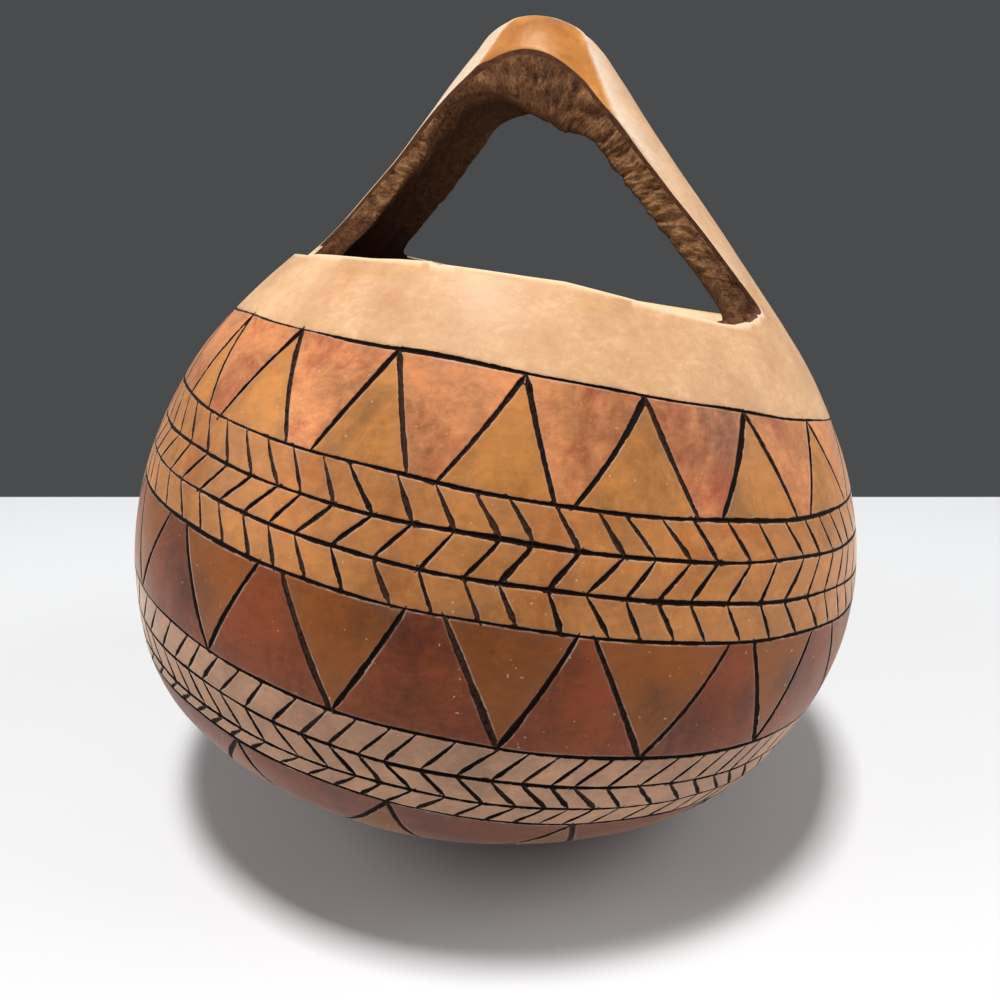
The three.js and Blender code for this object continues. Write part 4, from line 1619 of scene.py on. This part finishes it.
@dataclass
class Bowl:
    """The bowl: its carved skin, and the fibrous wall with the sanded rim inside it."""

    form: GourdForm
    strap: Strap
    rind: float = 1.2
    skin_floor: float = -78.0
    wall_floor: float = -60.0
    skin_spacing: float = 3.0
    wall_spacing: float = 4.0
    skin_foot_step: float = 3.4
    wall_foot_step: float = 5.0
    skin_clear: float = 0.3
    wall_clear: float = 1.2
    soft_arris: float = 0.62
    rim_shares: tuple = (0.96, 0.86, 0.72, 0.58, 0.44, 0.3, 0.16, 0.05, 0.0)

    def skin_relief(self, local: Array) -> Array:
        """Gives how far the grown skin stands in or out at points."""
        return 0.35 * unevenness(local, 46.0, 3.1) + 0.1 * unevenness(local, 11.0, 8.3)

    def build_skin(self, material: Material) -> Piece:
        """Makes the carved skin with its real grooves, its cut edge and its rubbed foot."""
        profile = self.form.outline()
        turning = Turning(self.form, profile)
        mouth, sanded, _ = self.strap.mouth(profile, turning)
        carving = Carving(profile)
        shell = OpenShell(turning, mouth, self.skin_floor, self.skin_spacing)
        angle, arc, faces, rim = shell.whole(carving, self.skin_foot_step)
        marks = carving.measure(angle, arc)
        sink = marks.pop("sink") - self.skin_relief(turning.at(angle, arc))
        local = turning.at(angle, arc, sink)
        fields = carving.cells(*self.face_middles(angle, arc, faces))
        edge_rows, edge_faces = self.cut_edge(rim, local)
        points = self.form.place(np.concatenate([local, edge_rows]))
        points[:, 2] = np.maximum(points[:, 2], self.skin_clear * MM)
        high = local[rim, 2]
        on_front = (1.0 - sanded[:-1]) * (mouth[:-1, 2] < self.strap.front_rim + 0.3)
        at_left_foot = (high > self.strap.front_rim + 1.0) & (np.abs(angle[rim] + 80.0) < 50.0)
        soft_arris = (high >= self.strap.back_rim + 0.5) | at_left_foot
        marks["arris"] = np.zeros(len(local))
        marks["arris"][rim] = np.where(soft_arris, self.soft_arris, 1.0)
        on_edge = {"arris": 1.0, "lee": 0.0, "line": 3.0, "near": 0.0, "fill": 1.0}
        extra = np.ones(len(edge_rows))
        on_points = {key: np.append(marks[key], value * extra) for key, value in on_edge.items()}
        on_points["cut"] = np.append(np.zeros(len(local)), np.tile(1.0 - sanded[:-1] - on_front, 2))
        on_faces = {key: np.append(values, np.zeros(len(edge_faces))) for key, values in fields.items()}
        parts = MeshParts(points, faces + edge_faces, on_points, on_faces)
        piece = parts.make("carved_bowl_skin", material)
        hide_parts("bowl_rind")
        LOG.info("carved skin: %d vertices, %d grooves", len(points), len(carving.grooves))
        return piece

    def face_middles(self, angle: Array, arc: Array, faces: list) -> tuple[Array, Array]:
        """Gives the angles and lengths of the faces' middles, also of faces that cross the back seam."""
        angles, arcs = np.empty(len(faces)), np.empty(len(faces))
        for i, face in enumerate(faces):
            corners = angle[list(face)]
            if corners.max() - corners.min() > 180.0:
                corners = np.where(corners < 0, corners + 360.0, corners)
            angles[i] = (corners.mean() + 180.0) % 360.0 - 180.0
            arcs[i] = arc[list(face)].mean()
        return angles, arcs

    def cut_edge(self, rim: Array, local: Array) -> tuple[Array, list]:
        """Makes the skin's thin cut edge round the mouth, with a rounded outer arris."""
        inner_profile = self.form.outline(self.rind)
        inner, _, _ = self.strap.mouth(inner_profile, Turning(self.form, inner_profile))
        rows = []
        for share, lift in ((0.25, 0.12), (1.0, 0.16)):
            row = local[rim][:-1] * (1 - share) + inner[:-1] * share
            row[:, 2] += lift
            rows.append(row)
        return np.concatenate(rows), hang_rows(rim[:-1], rows, len(local))

    def build_wall(self, material: Material) -> Piece:
        """Makes the wall: the sanded rim between skin and hollow, and the inner face down to the floor."""
        outer_profile = self.form.outline(self.rind)
        inner_profile = self.form.hollow()
        turning = Turning(self.form, inner_profile)
        outer, sanded, sides = self.strap.mouth(outer_profile, Turning(self.form, outer_profile))
        inner, _, _ = self.strap.mouth(inner_profile, turning)
        inner_angle = turning.angle_of(inner)
        at_foot = (inner_angle > 30.0) & (inner_angle < 84.0)
        round_foot = 1.0 - ease((inner[:, 2] - self.strap.front_rim - 2.0) / 7.0)
        bevelled = np.where(at_foot, round_foot, sanded)
        inner[:, 2] -= read_table(inner_angle, self.strap.bevel) * bevelled
        spread = turning.form.crook(inner[:, 2])
        radial = inner[:, :2] - spread
        radial *= (inner_profile.radius_at(inner[:, 2]) / np.linalg.norm(radial, axis=1))[:, None]
        inner[:, :2] = spread + radial
        shell = OpenShell(turning, inner, self.wall_floor, self.wall_spacing)
        angle, arc, faces, rim = shell.whole(None, self.wall_foot_step)
        local = turning.at(angle, arc)
        torn = TornFlesh(self.strap)
        in_leg = ease((local[:, 2] - self.strap.back_rim - 0.5) / 3.0)
        below = ease((self.strap.front_rim - 1.0 - local[:, 2]) / 9.0)
        stand = torn.stand(local) * 0.8 * in_leg
        stand += np.abs(0.5 * unevenness(local, 9.0, 5.2) + 0.35 * unevenness(local, 3.2, 1.4)) * below
        local = turning.at(angle, arc, stand)
        over_rim = local[:, 2] - self.strap.rim_height(angle)
        polish = (1.0 - ease((-over_rim - 0.8) / 2.2)) * (1.0 - ease((over_rim - 0.2) / 0.6))
        sanded_front = (angle > -60.0) & (angle < self.strap.torn_from)
        polish = polish * ((angle < -140.0) | sanded_front | (angle > 84.0))
        facing, _ = self.strap.axes()
        rows = []
        for share in self.rim_shares:
            row = outer[:-1] * (1 - share) + inner[:-1] * share
            crest = 0.35 * unevenness(row, 14.0, 2.6) + 0.12 * unevenness(row, 3.0, 9.9)
            soft = 0.5 if share in (0.96, 0.05) else 0.0
            lift = (crest * min(share, 1 - share) * 3 - soft) * sanded[:-1]
            rough = torn.stand(row) * ease(share / 0.12) * (1 - sanded[:-1]) * sides[:-1]
            row = row + rough[:, None] * np.append(facing, 0.0)
            row[:, 2] += lift
            rows.append(row)
        row_faces = hang_rows(rim[:-1], rows, len(local))
        depth = np.append(np.ones(len(local)), np.repeat(self.rim_shares, len(rows[0])))
        rows = np.concatenate(rows)
        both = np.concatenate([local, rows])
        points = self.form.place(both)
        points[:, 2] = np.maximum(points[:, 2], self.wall_clear * MM)
        grain = self.strap.grain_place
        on_points = {
            "wall": np.concatenate([grain(local)[:, [2, 0, 1]], grain(rows)]),
            "depth": depth,
            "dusk": torn.dusk(both, depth),
            "torn": torn.tone(both, torn.stand(both)),
            "sanded": np.append(polish, np.tile(sanded[:-1], len(self.rim_shares))),
        }
        piece = MeshParts(points, faces + row_faces, on_points).make("bowl_wall", material)
        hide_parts("bowl_flesh")
        LOG.info("bowl wall: %d vertices", len(points))
        return piece


@dataclass
class Handle:
    """The strap handle: its smooth skin with a thin cut edge, and the rough arch of flesh inside it."""

    form: GourdForm
    strap: Strap
    rind: float = 1.2
    swings: int = 460
    skin_columns: int = 40
    face_rows: int = 24
    crease_left: float = -23.0
    crease_slant: float = 0.4
    crease_right: tuple = ((-3.0, 9.9), (5.4, 17.4), (12.7, 22.4), (19.3, 27.1))
    arris_round: tuple = (
        (0, 0.5), (55, 0.8), (72, 1.6), (92, 3.4), (120, 4.2), (150, 3.6), (172, 1.6), (180, 0.5),
    )
    overlap: float = 0.5

    def grid(
        self, profile: Profile, shares: Array, swings: Array, under: bool = False
    ) -> Array:
        """Gives points of a turned surface over the strap, by swing and by share from front to back."""
        swing = np.repeat(swings, len(shares))
        share = np.tile(shares, len(swings))
        shift = self.strap.under_shift(swing, share) if under else 0.0
        return self.strap.arch(profile, swing, share, shift).reshape(len(swings), len(shares), 3)

    def facet(self, local: Array) -> tuple[Array, Array]:
        """Finds the scraped facet on the crown's front and the two creases beside it.

        Args:
            local: Positions on the skin.

        Returns:
            For each point, how much it lies in the facet and on a crease, and how much pale scratching and
            painted highlight it has beside the creases.
        """
        right, across = self.strap.spot(local)
        past_left = right - self.crease_left - self.crease_slant * (self.strap.front - across)
        past_right = across - read_table(right, self.crease_right)
        on_front = ease((across - 4.0) / 5.0)
        inside = ease(past_left / 2.4 + 0.5) * ease(past_right / 3.2 + 0.5)
        inside = inside * on_front * ease((local[:, 2] - 104.0) / 8.0)
        crease = np.exp(-(np.minimum(np.abs(past_left), np.abs(past_right)) / 2.6) ** 2)
        crease = crease * on_front * ease((local[:, 2] - 106.0) / 12.0)
        beside_left = ease(-past_left / 1.2 + 0.5) * ease((local[:, 2] - 100.0) / 16.0)
        beside_right = ease(-past_right / 2.6 + 0.5) * np.exp(np.minimum(past_right + 2.0, 0.0) / 7.0)
        beside_right = beside_right * (0.3 + 0.7 * ease((local[:, 2] - 96.0) / 24.0)) * (right > -10.0)
        # Pale streaks beside both creases: partly scratches, partly a painted highlight.
        pale_scratch_and_highlight = on_front * np.maximum(0.85 * beside_left, 0.95 * beside_right)
        return inside, crease, np.clip(pale_scratch_and_highlight, 0.0, 1.0)

    def build_skin(self, bowl: Bowl, material: Material) -> Piece:
        """Makes the strap's outer skin and its cut edges."""
        swings = np.linspace(-self.overlap, 180 + self.overlap, self.swings)
        shares = np.linspace(0, 1, self.skin_columns)
        profile = self.form.outline()
        outer = self.grid(profile, shares, swings)
        flat = outer.reshape(-1, 3)
        inside, crease, _ = self.facet(flat)
        relief = bowl.skin_relief(flat) + 0.55 * crease - 0.25 * inside
        relief = relief + 0.12 * unevenness(flat, 2.4, 5.5) * ease((flat[:, 2] - 132.0) / 8.0)
        outer = (flat + Turning(self.form, profile).normal(flat) * relief[:, None]).reshape(outer.shape)
        inner = self.grid(self.form.outline(self.rind), np.array([0.0, 1.0]), swings)
        rows = [inner[:, :1], outer[:, :1] * 0.75 + inner[:, :1] * 0.25, outer,
                outer[:, -1:] * 0.75 + inner[:, 1:] * 0.25, inner[:, 1:]]
        grid = np.concatenate(rows, 1)
        count = grid.shape[1]
        faces = weave(len(swings), count)
        local = grid.reshape(-1, 3)
        inside, _, pale_scratch_and_highlight = self.facet(local)
        edge, cut = np.zeros((len(swings), count)), np.zeros((len(swings), count))
        edge[:, 2] = edge[:, -3] = 1.0
        cut[:, :2] = cut[:, -2:] = 1.0
        arris = edge.ravel() * (1 - 0.8 * inside)
        on_points = {"facet": inside, "scratch_and_highlight": pale_scratch_and_highlight, "arris": arris, "cut": cut.ravel()}
        piece = MeshParts(self.form.place(local), faces, on_points).make("handle_skin", material)
        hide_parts("handle_rind")
        LOG.info("handle skin: %d vertices", len(local))
        return piece

    def build_wall(self, material: Material) -> Piece:
        """Makes the arch of flesh with its two rough sawn faces and its rough underside."""
        swings = np.linspace(-self.overlap, 180 + self.overlap, self.swings)
        outer_profile, inner_profile = self.form.outline(self.rind), self.form.hollow()
        rounding = self.strap.under_round
        across = np.concatenate([rounding * np.linspace(0, 1, 15) ** 2, np.linspace(rounding, 1, 14)[1:]])
        through = np.linspace(0, 1, self.face_rows)
        under = self.grid(inner_profile, across, swings, under=True)
        over = self.grid(outer_profile, np.array([0.0, 1.0]), swings)
        front = self.face(over[:, 0], under[:, 0], through, 0.0)
        back = self.face(under[:, -1], over[:, 1], through, 1.0)
        self.round_arris(front, under, through, across, read_table(swings, self.arris_round))
        grid = np.concatenate([front[:, :-1], under, back[:, 1:]], 1)
        count = grid.shape[1]
        section = np.concatenate([through[:-1], np.ones(len(across)), through[::-1][1:]])
        depth = np.tile(section, len(swings))
        local = grid.reshape(-1, 3)
        wall = self.strap.grain_place(local)
        wall = np.where((depth < 1.0)[:, None], wall, wall[:, [2, 0, 1]])
        torn = TornFlesh(self.strap)
        dusk, stand = torn.dusk(local, depth), torn.stand(local)
        local = local + self.roughness(local, depth, stand, Turning(self.form, inner_profile), count)
        faces = weave(len(swings), count, closed=True)
        on_points = {
            "wall": wall, "depth": depth, "dusk": dusk, "torn": torn.tone(local, stand),
            "sanded": np.zeros(len(local)),
        }
        piece = MeshParts(self.form.place(local), faces, on_points).make("handle_wall", material)
        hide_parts("handle_flesh")
        LOG.info("handle wall: %d vertices", len(local))
        return piece

    def face(self, start: Array, end: Array, through: Array, share: float) -> Array:
        """Gives a sawn face between two edges of the strap, lying in its saw cut."""
        rows = start[:, None] * (1 - through[None, :, None]) + end[:, None] * through[None, :, None]
        flat = rows.reshape(-1, 3)
        right, _ = self.strap.spot(flat)
        return self.strap.in_strap(right, flat[:, 2], np.full(len(flat), share)).reshape(rows.shape)

    def round_arris(
        self, front: Array, under: Array, through: Array, across: Array, radius: Array
    ) -> None:
        """Rounds the worn arris between the front sawn face and the underside.

        Args:
            front: The front face's positions, by swing and from the skin to the underside; they are moved.
            under: The underside's positions, by swing and from front to back; they are moved.
            through: Share of the way from the skin to the underside, for each column of the front face.
            across: Share of the way from front to back, for each column of the underside.
            radius: The rounding's radius for each swing.
        """
        facing = np.append(self.strap.axes()[0], 0.0)
        up = front[:, 0] - under[:, 0]
        thickness = np.linalg.norm(up, axis=1)[:, None]
        up = (up / thickness)[:, None]
        width = np.linalg.norm(under[:, -1] - under[:, 0], axis=1)[:, None]
        radius = radius[:, None]
        for face, off, way, back in (
            (front, (1 - through) * thickness, up, -facing), (under, across * width, -facing, up),
        ):
            turn = np.clip(1 - off / radius, 0, 1) * math.pi / 4
            along = np.where(off < radius, radius * (1 - np.sin(turn)) - off, 0.0)
            sunk = radius * (1 - np.cos(turn))
            face += way * along[..., None] + back * sunk[..., None]

    def roughness(
        self, local: Array, depth: Array, stand: Array, hollow: Turning, count: int
    ) -> Array:
        """Gives how the torn flesh stands in and out of its smooth form.

        Args:
            local: Positions in the gourd's own frame, in rows round the wall's section.
            depth: For each, 0 at the skin to 1 at the underside.
            stand: For each, how far the torn flesh stands out.
            hollow: The hollow's turned surface.
            count: How many positions each section has.

        Returns:
            The shift of each position.
        """
        facing, _ = self.strap.axes()
        column = np.tile(np.arange(count), len(local) // count)
        front = (column < self.face_rows - 1)[:, None] * np.append(facing, 0.0)
        back = (column > count - self.face_rows)[:, None] * np.append(-facing, 0.0)
        between = (column >= self.face_rows - 1) & (column <= count - self.face_rows)
        under = between[:, None] * -hollow.normal(local) * 0.8
        return (front + back + under) * (stand * ease(depth / 0.12))[:, None]


@dataclass
class StemScar:
    """The crumbly cork scar at the tip, where the stem was."""

    form: GourdForm
    radius: float = 5.0
    proud: float = 0.8
    rings: int = 9
    sides: int = 48

    def build(self, material: Material) -> Piece:
        """Makes the scar: a low torn mound with a hollow middle and a ragged edge."""
        points, faces = [], []
        turn = np.radians(np.arange(self.sides) * 360.0 / self.sides)
        middle = np.array(self.form.tip_shift)
        for i in range(self.rings):
            share = 1.0 - i / self.rings
            reach = self.radius * share * (1 + 0.06 * np.sin(5 * turn + 1.0) * share)
            mound = self.proud * (1 - share**4) * (1 - 0.6 * math.exp(-((share / 0.35) ** 2)))
            height = np.full(self.sides, self.form.tip_height + (mound if i else -1.0))
            ring = np.stack([middle[0] + reach * np.cos(turn), middle[1] + reach * np.sin(turn), height], 1)
            points.append(ring)
        points.append(np.array([[middle[0], middle[1], self.form.tip_height + 0.35 * self.proud]]))
        local = np.concatenate(points)
        crumbs = 0.45 * unevenness(local, 1.3, 7.7) + 0.3 * unevenness(local, 3.1, 2.2)
        crumbs[:self.sides] = 0.0
        local[:, 2] = np.minimum(local[:, 2] + crumbs, self.form.tip_height + self.proud + 0.3)
        for i in range(self.rings - 1):
            lower = np.arange(self.sides) + i * self.sides
            faces += ladder(lower, lower + self.sides, closed=True)
        tip = self.rings * self.sides
        last = tip - self.sides
        faces += [(last + k, last + (k + 1) % self.sides, tip) for k in range(self.sides)]
        piece = MeshParts(self.form.place(local), faces).make("stem_scar_cork", material)
        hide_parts("stem_scar")
        LOG.info("stem scar: %d vertices", len(local))
        return piece


@dataclass
class Studio:
    """The camera, the soft lamps, the pale table and the dark wall behind it."""

    eye: tuple[float, float, float] = (-7.4, -248.4, 158.7)
    pitch_down: float = 15.06
    lens: float = 27.0
    table_edge: float = 351.0
    table_colour: tuple = (236, 237, 238)
    table_roughness: float = 0.5
    table_reach: float = 4.0
    wall_colour: tuple = (73, 75, 77)
    sky_colour: tuple = (80, 83, 88)
    lamps: tuple = (
        ("key", (-0.16, -0.33, 2.1), 0.34, 40.2, (1.0, 0.99, 0.98)),
        ("left", (-1.25, -0.3, 0.8), 0.9, 6.2, (1.0, 1.0, 1.0)),
        ("right", (1.2, -0.1, 0.85), 0.9, 7.0, (1.0, 1.0, 1.0)),
    )
    lamp_aim: tuple[float, float, float] = (0.0, 0.0, 0.12)

    def build(self) -> None:
        """Sets up the whole studio."""
        bpy.context.scene.view_settings.view_transform = "Standard"
        self.build_camera()
        self.build_table()
        self.build_world()
        for lamp in self.lamps:
            self.build_lamp(*lamp)

    def build_camera(self) -> None:
        """Places the camera where the photograph was taken from."""
        camera = bpy.data.cameras.new("camera")
        camera.lens = self.lens
        camera.sensor_width = 36.0
        camera.clip_start = 0.01
        seen = bpy.data.objects.new("camera", camera)
        seen.location = Vector(self.eye) * MM
        seen.rotation_euler = (math.radians(90.0 - self.pitch_down), 0.0, 0.0)
        bpy.context.scene.collection.objects.link(seen)
        bpy.context.scene.camera = seen

    def build_table(self) -> None:
        """Lays the pale table top, which ends behind the basket as in the photograph."""
        far, edge = self.table_reach, self.table_edge * MM
        corners = [(-far, -far, 0), (far, -far, 0), (far, edge, 0), (-far, edge, 0)]
        mesh = bpy.data.meshes.new("table_top")
        mesh.from_pydata(corners, [], [(0, 1, 2, 3)])
        table = bpy.data.objects.new("table_top", mesh)
        bpy.context.scene.collection.objects.link(table)
        material, sheet, shader = start_material("table_white")
        sheet.fill_in(shader, {"Base Color": self.table_colour, "Roughness": self.table_roughness})
        mesh.materials.append(material)

    def build_world(self) -> None:
        """Makes the even studio light, and the dark wall that only the camera sees."""
        world = bpy.data.worlds.new("studio")
        bpy.context.scene.world = world
        world.use_nodes = True
        sheet = NodeSheet(world.node_tree)
        background = world.node_tree.nodes["Background"]
        path = sheet.node("ShaderNodeLightPath")
        colour = sheet.tint(path.outputs["Is Camera Ray"], self.sky_colour, self.wall_colour)
        sheet.fill_in(background, {"Color": colour, "Strength": 1.0})

    def build_lamp(
        self, name: str, place: tuple[float, float, float], size: float, power: float,
        colour: tuple[float, float, float],
    ) -> None:
        """Hangs a soft square lamp that faces the basket."""
        lamp = bpy.data.lights.new(name, "AREA")
        lamp.size = size
        lamp.energy = power
        lamp.color = colour
        hung = bpy.data.objects.new(name, lamp)
        hung.location = place
        hung.rotation_euler = (Vector(self.lamp_aim) - Vector(place)).to_track_quat("-Z", "Y").to_euler()
        bpy.context.scene.collection.objects.link(hung)


def main() -> None:
    """Builds the studio and the basket's pieces."""
    logging.basicConfig(level=logging.INFO, format="%(name)s: %(message)s")
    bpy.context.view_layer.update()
    Studio().build()
    skin_mottle()
    gouge_marks()
    fibre_grain()
    form = GourdForm()
    strap = Strap(form)
    flesh = FleshFinish("cut_flesh").build()
    plain_skin = SkinFinish("plain_skin", carved=False).build()
    bowl = Bowl(form, strap)
    bowl.build_skin(SkinFinish("carved_skin", carved=True).build())
    bowl.build_wall(flesh)
    handle = Handle(form, strap)
    handle.build_skin(bowl, plain_skin)
    handle.build_wall(flesh)
    StemScar(form).build(CorkFinish().build())


if __name__ == "__main__":
    main()
